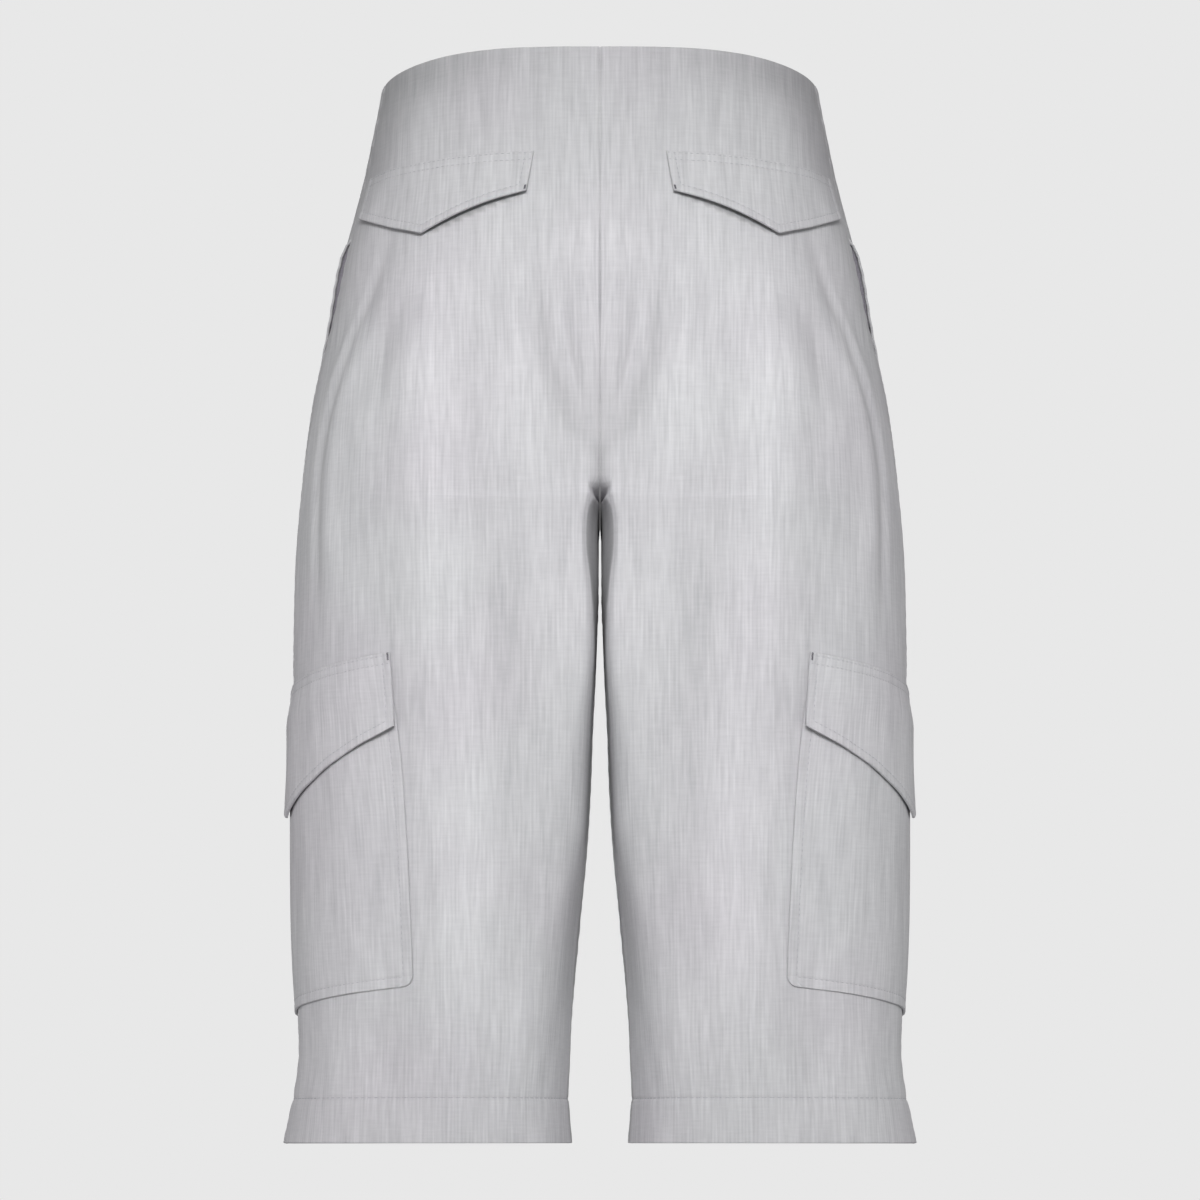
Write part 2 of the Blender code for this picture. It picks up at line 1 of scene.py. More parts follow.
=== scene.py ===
import bpy
import numpy as np
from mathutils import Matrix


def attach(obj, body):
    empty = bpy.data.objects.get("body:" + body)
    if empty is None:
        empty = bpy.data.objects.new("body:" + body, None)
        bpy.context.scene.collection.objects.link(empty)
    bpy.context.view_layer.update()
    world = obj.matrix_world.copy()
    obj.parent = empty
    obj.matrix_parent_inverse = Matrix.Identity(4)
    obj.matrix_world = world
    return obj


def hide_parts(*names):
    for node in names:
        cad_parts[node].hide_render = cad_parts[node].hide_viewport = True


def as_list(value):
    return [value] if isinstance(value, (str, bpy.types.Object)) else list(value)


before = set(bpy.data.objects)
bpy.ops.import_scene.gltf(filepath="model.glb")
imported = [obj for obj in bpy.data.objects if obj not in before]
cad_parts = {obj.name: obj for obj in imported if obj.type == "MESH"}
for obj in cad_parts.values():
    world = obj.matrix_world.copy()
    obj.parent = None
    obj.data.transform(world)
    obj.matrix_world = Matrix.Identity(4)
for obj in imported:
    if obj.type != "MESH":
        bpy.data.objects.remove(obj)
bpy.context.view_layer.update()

# Everything is worked out for the wearer's left half, at -X, and mirrored. The back faces -Y.
# A place on the cloth is (u, z): u is 0 at the centre back, 1 at the side seam and 2 at the centre
# front, and below the crotch 0 and 2 meet at the inseam. z is the height below the waist's rim.

trunk = {  # rings of the trunk: half width, depths and squareness of the back and the front half
    "z":          [0.000, -0.025, -0.050, -0.075, -0.100, -0.144, -0.190, -0.225, -0.254],
    "side":       [0.1285, 0.1327, 0.1375, 0.1436, 0.1500, 0.1580, 0.1683, 0.1732, 0.1750],
    "back":       [0.088, 0.097, 0.105, 0.113, 0.120, 0.129, 0.132, 0.129, 0.124],
    "front":      [0.092, 0.098, 0.103, 0.107, 0.109, 0.110, 0.110, 0.108, 0.105],
    "backPower":  [2.55, 2.50, 2.45, 2.45, 2.40, 2.40, 2.50, 2.70, 2.90],
    "frontPower": [2.20, 2.20, 2.20, 2.20, 2.25, 2.30, 2.40, 2.50, 2.60],
}
leg = {  # rings of the leg: reach from the centre plane, depths, squareness all round and at the inner
    # corner of the back, and how far that corner draws away from the centre plane
    "z":      [-0.100, -0.144, -0.190, -0.225, -0.254, -0.262, -0.279, -0.300, -0.335, -0.365, -0.440, -0.495,
               -0.540, -0.562, -0.585, -0.6095],
    "outer":  [0.1500, 0.1579, 0.1664, 0.1717, 0.1746, 0.1751, 0.1759, 0.1765, 0.1770, 0.1757, 0.1749, 0.1744,
               0.1731, 0.1724, 0.1753, 0.1802],
    "inner":  [0.0001, 0.0001, 0.0001, 0.0001, 0.0001, 0.0009, 0.0011, 0.0011, 0.0024, 0.0038, 0.0068, 0.0120,
               0.0158, 0.0169, 0.0180, 0.0163],
    "back":   [0.120, 0.1287, 0.1318, 0.1288, 0.1240, 0.122, 0.1178, 0.113, 0.106, 0.101, 0.092, 0.088,
               0.086, 0.085, 0.085, 0.086],
    "front":  [0.108, 0.1077, 0.1077, 0.1066, 0.104, 0.103, 0.1011, 0.099, 0.096, 0.093, 0.088, 0.085,
               0.084, 0.084, 0.084, 0.085],
    "power":  [2.20, 2.20, 2.20, 2.20, 2.20, 2.20, 2.18, 2.15, 2.10, 2.05, 2.05, 2.05,
               2.05, 2.05, 2.05, 2.05],
    "corner": [6.0, 8.0, 10.0, 20.0, 40.0, 40.0, 40.0, 34.0, 20.0, 11.0, 5.8, 3.8, 3.0, 2.6, 2.4, 2.4],
    "tuck":   [0.0, 0.0, 0.0, 0.0, 0.0049, 0.0060, 0.0066, 0.0043, 0.0008, 0.0, 0.0, 0.0, 0.0, 0.0, 0.0, 0.0],
}
cut = {
    "crotch": -0.254, "hem": -0.6095, "hemDepth": 0.025,
    "backRise": 0.0095, "backRiseFlat": 1.12, "frontDrop": 0.004, "riseFade": 0.060,
    "riseTop": -0.115, "backRisePower": 60.0, "frontRisePower": 6.0, "seamStart": 0.36, "seamZone": 0.22,
    "closing": 0.003, "closeWidth": 0.016, "crowding": 0.8,
    "forkWidth": 0.020, "forkTop": -0.080, "forkLow": -0.230,
    "cornerAngle": 48.0, "cornerSpan": 27.0, "tuckSpan": 7.0, "inseamTurn": 8.0,
    "seamBack": 13.0, "legSeamBack": 2.0, "seamBackTop": -0.120, "seamBackLow": -0.250,
}
cloth = {
    "wall": 0.0011, "hemWall": 0.0023, "seamDip": 0.0006, "seamDipWidth": 0.0006,
    "pucker": 0.00022, "puckerLength": 0.011, "puckerReach": 0.009, "unevenness": 0.0006,
    "hemGroove": 0.00035, "hemGrooveWidth": 0.0009, "hemFull": 0.0004,
    "hemGather": 0.00010, "hemGatherLength": 0.0075, "notch": 0.0012, "stitchReach": 0.004,
    "groove": 0.00030, "grooveWidth": 0.0008, "gather": 0.00010,
    "sharpAngle": 40.0, "liningShift": 0.37,  # where the weave of the inner face starts
}
# In slit, "facing" is the depth of painted shade on the front panel's inner face inside the side pocket's
# opening
slit = {"top": -0.092, "low": -0.168, "stand": 0.0034, "skew": 0.5, "spread": 0.018, "facing": 0.75}


def smoothStep(t):
    # 0 below 0, 1 above 1, and 3t^2 - 2t^3 between them
    t = np.clip(t, 0.0, 1.0)
    return t * t * (3 - 2 * t)


def shareDown(z, top, low):
    # 0 above the top, 1 below the low height, and even between them
    return np.clip((top - z) / (top - low), 0, 1)


def bell(t):
    # e^(-t^2)
    return np.exp(-(t**2))


def curveThrough(places, values, at):
    # A cubic between each two knots, with each knot's slope taken from its neighbours
    order = np.argsort(places)
    places, values = np.array(places, float)[order], np.array(values, float)[order]
    slopes = np.gradient(values, places)
    at = np.clip(at, places[0], places[-1])
    low = np.clip(np.searchsorted(places, at) - 1, 0, len(places) - 2)
    span = places[low + 1] - places[low]
    t = (at - places[low]) / span
    ends = values[low] * (1 + 2 * t) * (1 - t) ** 2 + values[low + 1] * (3 - 2 * t) * t**2
    return ends + span * (slopes[low] * t * (1 - t) ** 2 - slopes[low + 1] * (1 - t) * t**2)


def reachOf(across, along, power):
    # Radius of a rounded rectangle: (|across|^p + |along|^p)^(-1/p)
    return (np.abs(across) ** power + np.abs(along) ** power) ** (-1 / power)


def trunkRing(turn, z):
    size = {name: curveThrough(trunk["z"], trunk[name], z) for name in trunk if name != "z"}
    toFront = smoothStep((1 - np.cos(turn)) / 2)
    power = size["backPower"] + (size["frontPower"] - size["backPower"]) * toFront
    depth = np.where(np.cos(turn) > 0, size["back"], size["front"])
    reach = reachOf(np.sin(turn) / size["side"], np.cos(turn) / depth, power)
    return -reach * np.sin(turn), -reach * np.cos(turn)


def legRing(turn, z):
    size = {name: curveThrough(leg["z"], leg[name], z) for name in leg if name != "z"}
    corner = bell((turn - np.radians(cut["cornerAngle"])) / np.radians(cut["cornerSpan"]))
    power = size["power"] + (size["corner"] - size["power"]) * corner
    halfWidth = (size["outer"] - size["inner"]) / 2
    depth = np.where(np.sin(turn) > 0, size["back"], size["front"])
    reach = reachOf(np.cos(turn) / halfWidth, np.sin(turn) / depth, power)
    fold = np.arctan2(size["back"], halfWidth)  # the corner itself: the tuck fades evenly to both sides of it
    tuck = size["tuck"] * np.clip(1 - np.abs(turn - fold) / np.radians(cut["tuckSpan"]), 0, 1)
    return reach * np.cos(turn) - (size["outer"] + size["inner"]) / 2 - tuck, -reach * np.sin(turn)


def rimLift(turn, z):
    # The rim is higher at the back than at the sides, and lower at the front
    rise = cut["backRise"] * smoothStep(cut["backRiseFlat"] * np.cos(turn))
    return (rise - cut["frontDrop"] * smoothStep(-np.cos(turn))) * smoothStep(1 + z / cut["riseFade"])


def forkShares(start, legStart):
    # At the crotch: the turn of the trunk, as a share of the way to the side, that lies as far from
    # the centre plane as the leg's ring does at each share, and no nearer than share x forkWidth
    fine = np.linspace(0, 1, 401)
    crotch = np.full_like(fine, cut["crotch"])
    trunkX, _ = trunkRing(start + (legSide - start) * fine, crotch)
    legX, _ = legRing(legStart + (2 * legSide - legStart) * fine, crotch)
    wanted = np.maximum(np.maximum.accumulate(-legX), cut["forkWidth"] * fine)
    share = np.interp(wanted, np.maximum.accumulate(-trunkX), fine)
    return share + (fine - share) * smoothStep(2 * fine - 1)


legSide = np.pi / 2 - np.radians(cut["legSeamBack"])
inseam = -np.radians(cut["inseamTurn"])
backFork = forkShares(0.0, inseam)
frontFork = forkShares(np.pi, inseam + 2 * np.pi)


def formAt(u, z):
    # The trunk's ring at each height, turning into the leg's ring down to the crotch: late beside
    # the centre seams, where weight = fall^power, and evenly at the side
    u, z = np.broadcast_arrays(np.clip(u, 0.0, 2.0), np.clip(z, cut["hem"], 0.0))
    onBack = u <= 1
    share = np.where(onBack, u, 2 - u)
    lowness = smoothStep(shareDown(z, cut["seamBackTop"], cut["seamBackLow"]))
    side = np.pi / 2 - np.radians(cut["seamBack"] + (cut["legSeamBack"] - cut["seamBack"]) * lowness)
    even = share - cut["crowding"] * share * (1 - share) ** 2
    fine = np.linspace(0, 1, 401)
    fork = np.where(onBack, np.interp(share, fine, backFork), np.interp(share, fine, frontFork))
    low = smoothStep(shareDown(z, cut["forkTop"], cut["forkLow"]))
    centre = np.where(onBack, 0.0, np.pi)
    turn = centre + (side - centre) * (even + (fork - even) * low)
    start = np.where(onBack, 0.0, 2 * np.pi) + inseam
    trunkX, trunkY = trunkRing(turn, z)
    legX, legY = legRing(start + (2 * side - start) * share, z)
    fall = shareDown(z, cut["riseTop"], cut["crotch"])
    toFront = smoothStep((1 - np.cos(turn)) / 2)
    power = cut["backRisePower"] + (cut["frontRisePower"] - cut["backRisePower"]) * toFront
    offSeam = smoothStep((share - cut["seamStart"]) / cut["seamZone"])
    weight = fall**power * (1 - offSeam) + smoothStep(fall) * offSeam
    x = trunkX + (legX - trunkX) * weight
    y = trunkY + (legY - trunkY) * weight
    closed = smoothStep((z - cut["crotch"]) / cut["closing"]) * (1 - smoothStep(share / cut["closeWidth"]))
    x = x * (1 - closed)
    return np.stack([np.minimum(x, 0.0), y, z + rimLift(turn, z)], axis=-1)


def unit(vectors):
    return vectors / np.maximum(np.linalg.norm(vectors, axis=-1, keepdims=True), 1e-12)


def formNormals(u, z):
    # Across the runs around and down the form, from small steps each way
    stepU, stepZ = 0.004, 0.0006
    around = formAt(u + stepU, z) - formAt(u - stepU, z)
    down = formAt(u, z - stepZ) - formAt(u, z + stepZ)
    return unit(np.cross(around, down))


def gridNormals(points):
    return unit(np.cross(np.gradient(points, axis=1), np.gradient(points, axis=0)))


# Distance around the form from the side seam, - to the back and + to the front, on a fine grid
tableU = np.linspace(0, 2, 321)
tableZ = np.linspace(0, cut["hem"], 245)
tablePoints = formAt(tableU[None, :], tableZ[:, None])
tableRun = np.cumsum(np.linalg.norm(np.diff(tablePoints, axis=1), axis=2), axis=1)
tableRun = np.concatenate([np.zeros((len(tableZ), 1)), tableRun], axis=1)
sideColumn = 160
tableSide = tableRun - tableRun[:, sideColumn:sideColumn + 1]


def tableRow(z):
    row = np.clip(z / cut["hem"], 0, 1) * (len(tableZ) - 1)
    low = np.minimum(row.astype(int), len(tableZ) - 2)
    return low, row - low


def aroundAt(u, z):
    # Distance from the side seam at (u, z), between the four nearest places of the table
    u, z = np.broadcast_arrays(np.clip(u, 0, 2), z)
    row, down = tableRow(z)
    column = u / 2 * (len(tableU) - 1)
    left = np.minimum(column.astype(int), len(tableU) - 2)
    part = column - left
    upper = tableSide[row, left] * (1 - part) + tableSide[row, left + 1] * part
    lower = tableSide[row + 1, left] * (1 - part) + tableSide[row + 1, left + 1] * part
    return upper * (1 - down) + lower * down


def placeAt(around, height):
    # The (u, z) of a distance around and a true height: u is where the distance is reached, and
    # the rim's lift is taken off z, a few times over
    around, height = np.broadcast_arrays(around, height)
    z = height.copy()
    for _ in range(4):
        row, down = tableRow(z)
        lines = tableSide[row] * (1 - down[..., None]) + tableSide[row + 1] * down[..., None]
        low = np.clip(np.sum(lines < around[..., None], axis=-1) - 1, 0, len(tableU) - 2)
        before = np.take_along_axis(lines, low[..., None], -1)[..., 0]
        after = np.take_along_axis(lines, low[..., None] + 1, -1)[..., 0]
        u = (low + (around - before) / (after - before)) * 2 / (len(tableU) - 1)
        z = height - (formAt(u, z)[..., 2] - np.clip(z, cut["hem"], 0.0))
    return u, z


# Creases, in mm. Each runs down through its knots (height, place across), where "x" is the distance
# from the centre plane and "side" the distance from the side seam. Then come its width, the height of
# its round back, how far it rolls the cloth over beside it, and the length in which its ends fade out.
backCreases = [
    ("side", [(-85, -58), (-112, -55), (-150, -52), (-200, -64), (-255, -70), (-330, -62)], 5, -1.3, 1, 45),
    ("side", [(-100, -70), (-170, -74), (-240, -86), (-320, -84)], 12, 1.3, 0, 50),
    ("x", [(-70, 98), (-110, 92), (-190, 96), (-310, 82), (-420, 72), (-585, 80)], 17, 1.7, 0, 80),
    ("x", [(-110, 124), (-190, 120), (-290, 116), (-420, 112), (-600, 112)], 14, -1.8, 0, 50),
    ("x", [(-125, 126), (-160, 123), (-200, 122), (-240, 124)], 4, -0.7, 0, 35),
    ("x", [(-120, 70), (-200, 72), (-300, 60), (-420, 50), (-560, 48)], 13, -1.6, 0, 90),
    ("x", [(-100, 45), (-180, 40), (-260, 36), (-360, 34)], 11, 0.9, 0, 70),
    ("x", [(-140, 16.5), (-173, 13.8), (-190, 10.5), (-206, 6.8)], 2.8, -1.3, -0.3, 26),
    ("x", [(-110, 37), (-150, 34), (-178, 30), (-201, 21.5), (-213, 16.5), (-228, 8),
           (-238, 2)], 5, -2.1, -0.6, 40),
    ("x", [(-125, 24), (-152, 21.8), (-193, 13.5), (-214, 7)], 4, 1.4, 0, 30),
    ("x", [(-100, 10), (-135, 8), (-180, 5)], 3, 0.7, 0, 30),
    ("x", [(-235, 60), (-262, 40), (-285, 22)], 12, -0.9, 0, 22),
    ("side", [(-425, -135), (-480, -128), (-560, -128)], 7, -0.7, -0.6, 50),
    ("x", [(-380, 22), (-450, 26), (-560, 30)], 16, -1.2, 0, 70),
]
frontCreases = [
    ("x", [(-30, 74), (-120, 80), (-260, 88), (-400, 90), (-600, 92)], 17, 2.2, 0, 80),
    ("x", [(-60, 50), (-170, 56), (-300, 58), (-500, 60)], 13, -1.3, 0, 90),
    ("x", [(-130, 50), (-180, 34), (-225, 14)], 6.5, -1.2, -0.4, 45),
    ("x", [(-160, 68), (-205, 48), (-240, 26)], 9, 1, 0, 35),
    ("x", [(-130, 22), (-165, 15), (-200, 8)], 4.5, -0.8, 0, 35),
    ("side", [(-180, 50), (-240, 58), (-310, 52)], 8, -1, 0.6, 50),
    ("x", [(-290, 118), (-400, 122), (-520, 120)], 15, -1.2, 0, 70),
    ("x", [(-340, 34), (-440, 38), (-570, 42)], 11, 1, 0, 70),
]
waistBends = [  # level bends of the waist: height, half width, ridge, and where along x they lie
    {"z": -0.030, "width": 0.014, "ridge": 0.0007, "from": 0.035, "to": 0.120},
    {"z": -0.056, "width": 0.007, "ridge": 0.0006, "from": -0.020, "to": 0.040},
    {"z": -0.074, "width": 0.013, "ridge": -0.0007, "from": -0.020, "to": 0.045},
]


def creaseHeight(creases, across, z):
    # With t = distance from the crease's line / its width: back x e^(-t^2) + roll x t x e^(-t^2 / 2)
    height = np.zeros(np.broadcast(across["x"], z).shape)
    for by, knots, width, back, roll, fade in creases:
        heights, middles = np.array(knots).T / 1000
        t = (across[by] - curveThrough(heights, middles, z)) * 1000 / width
        ends = smoothStep((heights.max() - z) * 1000 / fade) * smoothStep((z - heights.min()) * 1000 / fade)
        height += ends * (back * bell(t) + roll * t * np.exp(-t * t / 2)) / 1000
    return height


def unevenHeight(around, z, seed):
    # Long, shallow, mostly upright waves of chance places: the sum of sines along slanting runs
    chance = np.random.default_rng(seed)
    height = np.zeros(np.broadcast(around, z).shape)
    for number in range(14):
        length = chance.uniform(0.016, 0.060)
        tall = chance.uniform(0.10, 0.30) * chance.choice([-1, 1])
        phase = chance.uniform(0, 2 * np.pi)
        sway = np.sin(z / chance.uniform(0.05, 0.12) + chance.uniform(0, 6))
        height += np.sin(2 * np.pi * (around / length + z / tall) + phase + sway) * length / 0.06
    return cloth["unevenness"] * height / 5


def creasesAt(u, z):
    # The distances from the centre plane and the side seam, and the creases there, which fade out
    # beside the side seam
    across = {"x": -formAt(u, z)[..., 0], "side": aroundAt(u, z)}
    height = np.where(u <= 1, creaseHeight(backCreases, across, z), creaseHeight(frontCreases, across, z))
    return across, height * smoothStep((np.abs(u - 1) - 0.02) / 0.16)


def clothHeight(u, z):
    # How far the cloth stands off the plain form: creases, waist bends and unevenness
    across, height = creasesAt(u, z)
    x = across["x"]
    for bend in waistBends:
        span = smoothStep((x - bend["from"]) / 0.02) * smoothStep((bend["to"] - x) / 0.02) * (u < 1)
        height += bend["ridge"] * span * bell((z - bend["z"]) / bend["width"])
    calm = smoothStep(-z / 0.030) * smoothStep((z - cut["hem"]) / 0.060) * 0.8 + 0.2
    return height * smoothStep(-z / 0.012) + unevenHeight(across["side"], z, 4) * calm


# Thigh pocket and its flap: distances from the side seam, heights, turn, sizes, stand-offs and insets
cargo = {"rear": -0.1165, "front": 0.0835, "top": -0.339, "tilt": 0.105,
         "flapSide": 0.040, "flapPoint": 0.076, "flapFlare": 0.003, "pocketTop": 0.014, "pocketLength": 0.184,
         "wall": 0.0013, "stand": 0.0005, "fullness": 0.0022, "flapLift": 0.0042, "inset": 0.0056,
         "corner": 0.006, "pull": 0.00012, "pullLength": 0.0085}

# Painted light and shade in the cloth's colour: painted shade in the creases and painted light on their
# ridges, by "perMetre" of their height, soft patches (distance from the centre plane, height, half width,
# half height, how much: painted shade below 0, painted light above it), painted shade along lines, beside
# the side seams (height, half height, reach, how much), in the centre seams, under the flaps and in the fold
# between the legs
painted_light_and_shade = {"perMetre": 36.0, "seam": 0.08, "seamWidth": 0.00055,
           "under": 0.38, "soften": 0.0012, "inward": 0.0014,
           "fold": 0.30, "foldLeast": 0.0008, "foldTop": -0.2525, "foldSoften": 0.0007,
           "patches": [(0.060, 0.000, 0.050, 0.014, -0.05), (0.105, -0.006, 0.040, 0.020, -0.20),
                       (0.080, -0.045, 0.050, 0.030, -0.03), (0.000, -0.208, 0.013, 0.022, -0.09),
                       (0.000, -0.236, 0.005, 0.013, -0.22), (0.000, -0.2520, 0.006, 0.0035, 0.45),
                       (0.016, -0.195, 0.024, 0.045, -0.09), (0.055, -0.335, 0.045, 0.110, -0.07),
                       (0.110, -0.280, 0.014, 0.080, -0.04), (0.152, -0.570, 0.030, 0.050, 0.08),
                       (0.030, -0.585, 0.016, 0.050, 0.12), (0.028, -0.370, 0.018, 0.100, -0.05)],
           "lines": [  # painted shade along the drag lines from the crotch, as the creases, in thousandths
               ("x", [(-130, 33.5), (-160, 31.5), (-185, 29), (-200, 24.5), (-212, 19), (-225.5, 7),
                      (-238, 1)], 4.6, -55, -10, 30),
               ("x", [(-155, 17), (-185, 11.8), (-206, 7)], 2, -60, 0, 18)],
           "sides": [(-0.045, 0.055, 0.065, 0.26), (-0.185, 0.045, 0.045, 0.20)],
           "backFlap": [(0.0372, -0.0556), (0.0408, -0.0815), (0.0985, -0.1035), (0.1585, -0.0845),
                        (0.155, -0.059)],
           "cargoFlap": [(0.0, 0.0), (0.200, 0.0), (0.200, -0.040), (0.100, -0.076), (0.0, -0.040)]}


def outsideOf(corners, x, z):
    # Distance outside a convex outline: the greatest of the distances beyond its sides
    corners = np.array(corners)
    after = np.roll(corners, -1, axis=0)
    turn = np.sign(np.sum(corners[:, 0] * after[:, 1] - after[:, 0] * corners[:, 1]))
    run = (after - corners) / np.linalg.norm(after - corners, axis=1, keepdims=True)
    return np.max([turn * ((x - a[0]) * r[1] - (z - a[1]) * r[0]) for a, r in zip(corners, run)], axis=0)


def paintedLightAndShadeTone(u, z, uncovered=True):
    # Painted light and shade: the share by which the cloth is lighter or darker: the creases' height, round
    # patches e^(-(dx^2 + dz^2)), the lines, the fold between the legs, the sides, and, where the face looks
    # outwards and no flap is above it, the centre seams and what lies under the flaps
    across, height = creasesAt(u, z)
    x, around = across["x"], across["side"]
    # painted shade in the creases' hollows and painted light on their ridges
    tone = painted_light_and_shade["perMetre"] * height
    # soft patches of painted shade and painted light
    for middle, level, wide, tall, strength in painted_light_and_shade["patches"]:
        tone += strength * bell((x - middle) / wide) * bell((z - level) / tall) * (u <= 1)
    tone += creaseHeight(painted_light_and_shade["lines"], across, z) * (u <= 1)
    # painted shade between the legs, on the cloth that lies nearer to the centre plane than the leg's folded
    # corner
    tuck = np.maximum(curveThrough(leg["z"], leg["tuck"], z), painted_light_and_shade["foldLeast"])
    fold = curveThrough(leg["z"], leg["inner"], z) + tuck
    fold = fold * smoothStep(0.35 + (painted_light_and_shade["foldTop"] - z) / 0.0080)
    within = smoothStep(0.5 + (fold - x) / painted_light_and_shade["foldSoften"]) * (z < painted_light_and_shade["foldTop"]) * (u <= 1)
    tone -= painted_light_and_shade["fold"] * within
    # painted shade beside the side seams
    for level, tall, reach, strength in painted_light_and_shade["sides"]:
        tone -= strength * smoothStep(1 - np.abs(around) / reach) * bell((z - level) / tall)
    if uncovered:
        fromCentre = around - aroundAt(0.0, z)
        fromFront = aroundAt(2.0, z) - around
        beside = np.minimum(fromCentre, fromFront) / painted_light_and_shade["seamWidth"]
        # painted shade in a thin line along the centre seams
        tone -= painted_light_and_shade["seam"] * bell(beside) * (z > cut["crotch"])
        # painted shadow on the cloth under the flaps
        rearward = around - cargo["rear"]
        fromTop = z - cargo["top"] + cargo["tilt"] * rearward
        covered = np.minimum(outsideOf(painted_light_and_shade["backFlap"], fromCentre, z),
                             outsideOf(painted_light_and_shade["cargoFlap"], rearward, fromTop))
        tone -= painted_light_and_shade["under"] * smoothStep(0.5 - (covered + painted_light_and_shade["inward"]) / painted_light_and_shade["soften"])
    return tone


def slitStand(u, z):
    # The front panel stands off along the side pocket's opening, most in its upper half
    along = shareDown(z, slit["top"], slit["low"])
    near = smoothStep(1 - aroundAt(u, z) / slit["spread"]) * (u >= 1)
    return slit["stand"] * np.sin(np.pi * along ** slit["skew"]) * near


def offForm(u, z, height):
    # The form moved out along its normals; beside the centre seams it stays in its own half
    u, z = np.broadcast_arrays(u, z)
    shift = formNormals(u, z) * height[..., None]
    beside = np.minimum(u, 2 - u) / 0.05
    hold = smoothStep((z - cut["crotch"]) / 0.010) * (1 - smoothStep(beside))
    shift[..., 0] *= 1 - hold
    return formAt(u, z) + shift


def clothAt(u, z):
    # The cloth's outer face
    return offForm(u, z, clothHeight(u, z) + slitStand(u, z))


def withFine(places, spots, offsets):
    # Even steps, with closer ones around each spot that needs them
    extra = [spot + offset for spot in spots for offset in offsets]
    extra = [place for place in extra if min(places) <= place <= max(places)]
    kept = [place for place in places if not extra or np.min(np.abs(np.array(extra) - place)) > 0.0004]
    return np.unique(np.round(np.concatenate([kept, extra, [min(places), max(places)]]), 7))


def meshObject(name, vertices, faces, material, slot=None, uv=None, tone=None, sharpAngle=None):
    # A mesh with its UV map in metres of cloth and its painted light and shade in each point. With a slot it
    # is a piece of the shorts and rides on them
    mesh = bpy.data.meshes.new(name)
    mesh.from_pydata(vertices.tolist(), [], faces)
    if tone is not None:
        values = tone.astype(np.float32).ravel()
        mesh.attributes.new("painted_light_and_shade", "FLOAT", "POINT").data.foreach_set("value", values)
    if uv is not None:
        loops = np.empty(len(mesh.loops), dtype=np.int32)
        mesh.loops.foreach_get("vertex_index", loops)
        mesh.uv_layers.new(name="cloth").data.foreach_set("uv", uv[loops].astype(np.float32).ravel())
    mesh.shade_smooth()
    if sharpAngle is not None:
        mesh.set_sharp_from_angle(angle=np.radians(sharpAngle))
    mesh.materials.append(material)
    piece = bpy.data.objects.new(name, mesh)
    bpy.context.scene.collection.objects.link(piece)
    if slot is not None:
        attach(piece, "root")
    return piece


def wallObject(name, node, outer, inner, uv, material, paintedTones=(0.0, 0.0), slot="suiting"):
    # A closed wall in place of a CAD node: the outer grid, the inner grid turned over, and a strip of
    # faces round the rim
    rows, columns = outer.shape[:2]
    index = np.arange(rows * columns).reshape(rows, columns)
    quads = np.stack([index[:-1, :-1], index[1:, :-1], index[1:, 1:], index[:-1, 1:]], axis=-1).reshape(-1, 4)
    border = np.concatenate([index[0, :-1], index[:-1, -1], index[-1, :0:-1], index[:0:-1, 0]])
    after = np.roll(border, -1)
    under = rows * columns
    rim = np.stack([border, after, after + under, border + under], axis=-1)
    faces = np.concatenate([quads, quads[:, ::-1] + under, rim])
    vertices = np.concatenate([outer.reshape(-1, 3), inner.reshape(-1, 3)])
    one, two, three, four = [vertices[faces[:, corner]] for corner in range(4)]
    if np.sum(one * (np.cross(two, three) + np.cross(three, four))) < 0:
        faces = faces[:, ::-1]
    flat = uv.reshape(-1, 2)
    flat = np.concatenate([flat, flat + cloth["liningShift"]])
    # painted light and shade of the outer face, then of the inner face
    tone = np.concatenate([np.broadcast_to(tone, (rows, columns)).ravel() for tone in paintedTones])
    piece = meshObject(name, vertices, faces.tolist(), material, slot, flat, tone, cloth["sharpAngle"])
    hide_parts(node)
    return piece


def tubeFaces(count, rings, around):
    # The faces between the rings of several tubes, and the caps at their ends
    index = np.arange(count * rings * around).reshape(count, rings, around)
    after = np.roll(index, -1, axis=2)
    walls = np.stack([index[:, :-1], after[:, :-1], after[:, 1:], index[:, 1:]], axis=-1).reshape(-1, 4)
    return walls, np.concatenate([index[:, 0, ::-1], index[:, -1]])


def mirrored(points):
    return points * np.array([-1.0, 1.0, 1.0])


def bothSides(name, node, outer, inner, uv, material, paintedTones=(0.0, 0.0)):
    # The wall on the wearer's left, and then its mirror image on the right
    for side, turned in (("left", np.array), ("right", mirrored)):
        grids = turned(outer), turned(inner)
        yield side, wallObject(f"{name}_{side}", f"{node}_{side}", *grids, uv, material, paintedTones)


def quarterRound(distance, radius):
    # How far an edge draws in near its end: radius x (1 - (1 - (1 - distance / radius)^2)^(1/2))
    near = np.clip(1 - distance / radius, 0, 1)
    return radius * (1 - np.sqrt(1 - near**2))


def roundedEdge(distance, wall):
    # How far an outer face draws in beside an open edge: a quarter round of half the wall
    return quarterRound(distance, wall / 2)


def runAlong(points):
    # The distance walked up to each point of a path
    return np.concatenate([[0], np.cumsum(np.linalg.norm(np.diff(points, axis=0), axis=1))])


def pickedAt(at, run, vectors):
    # A path's vectors at given distances along it
    return np.stack([np.interp(at, run, vectors[:, k]) for k in range(3)], axis=-1)


print("shorts: form and creases ready")

# Materials


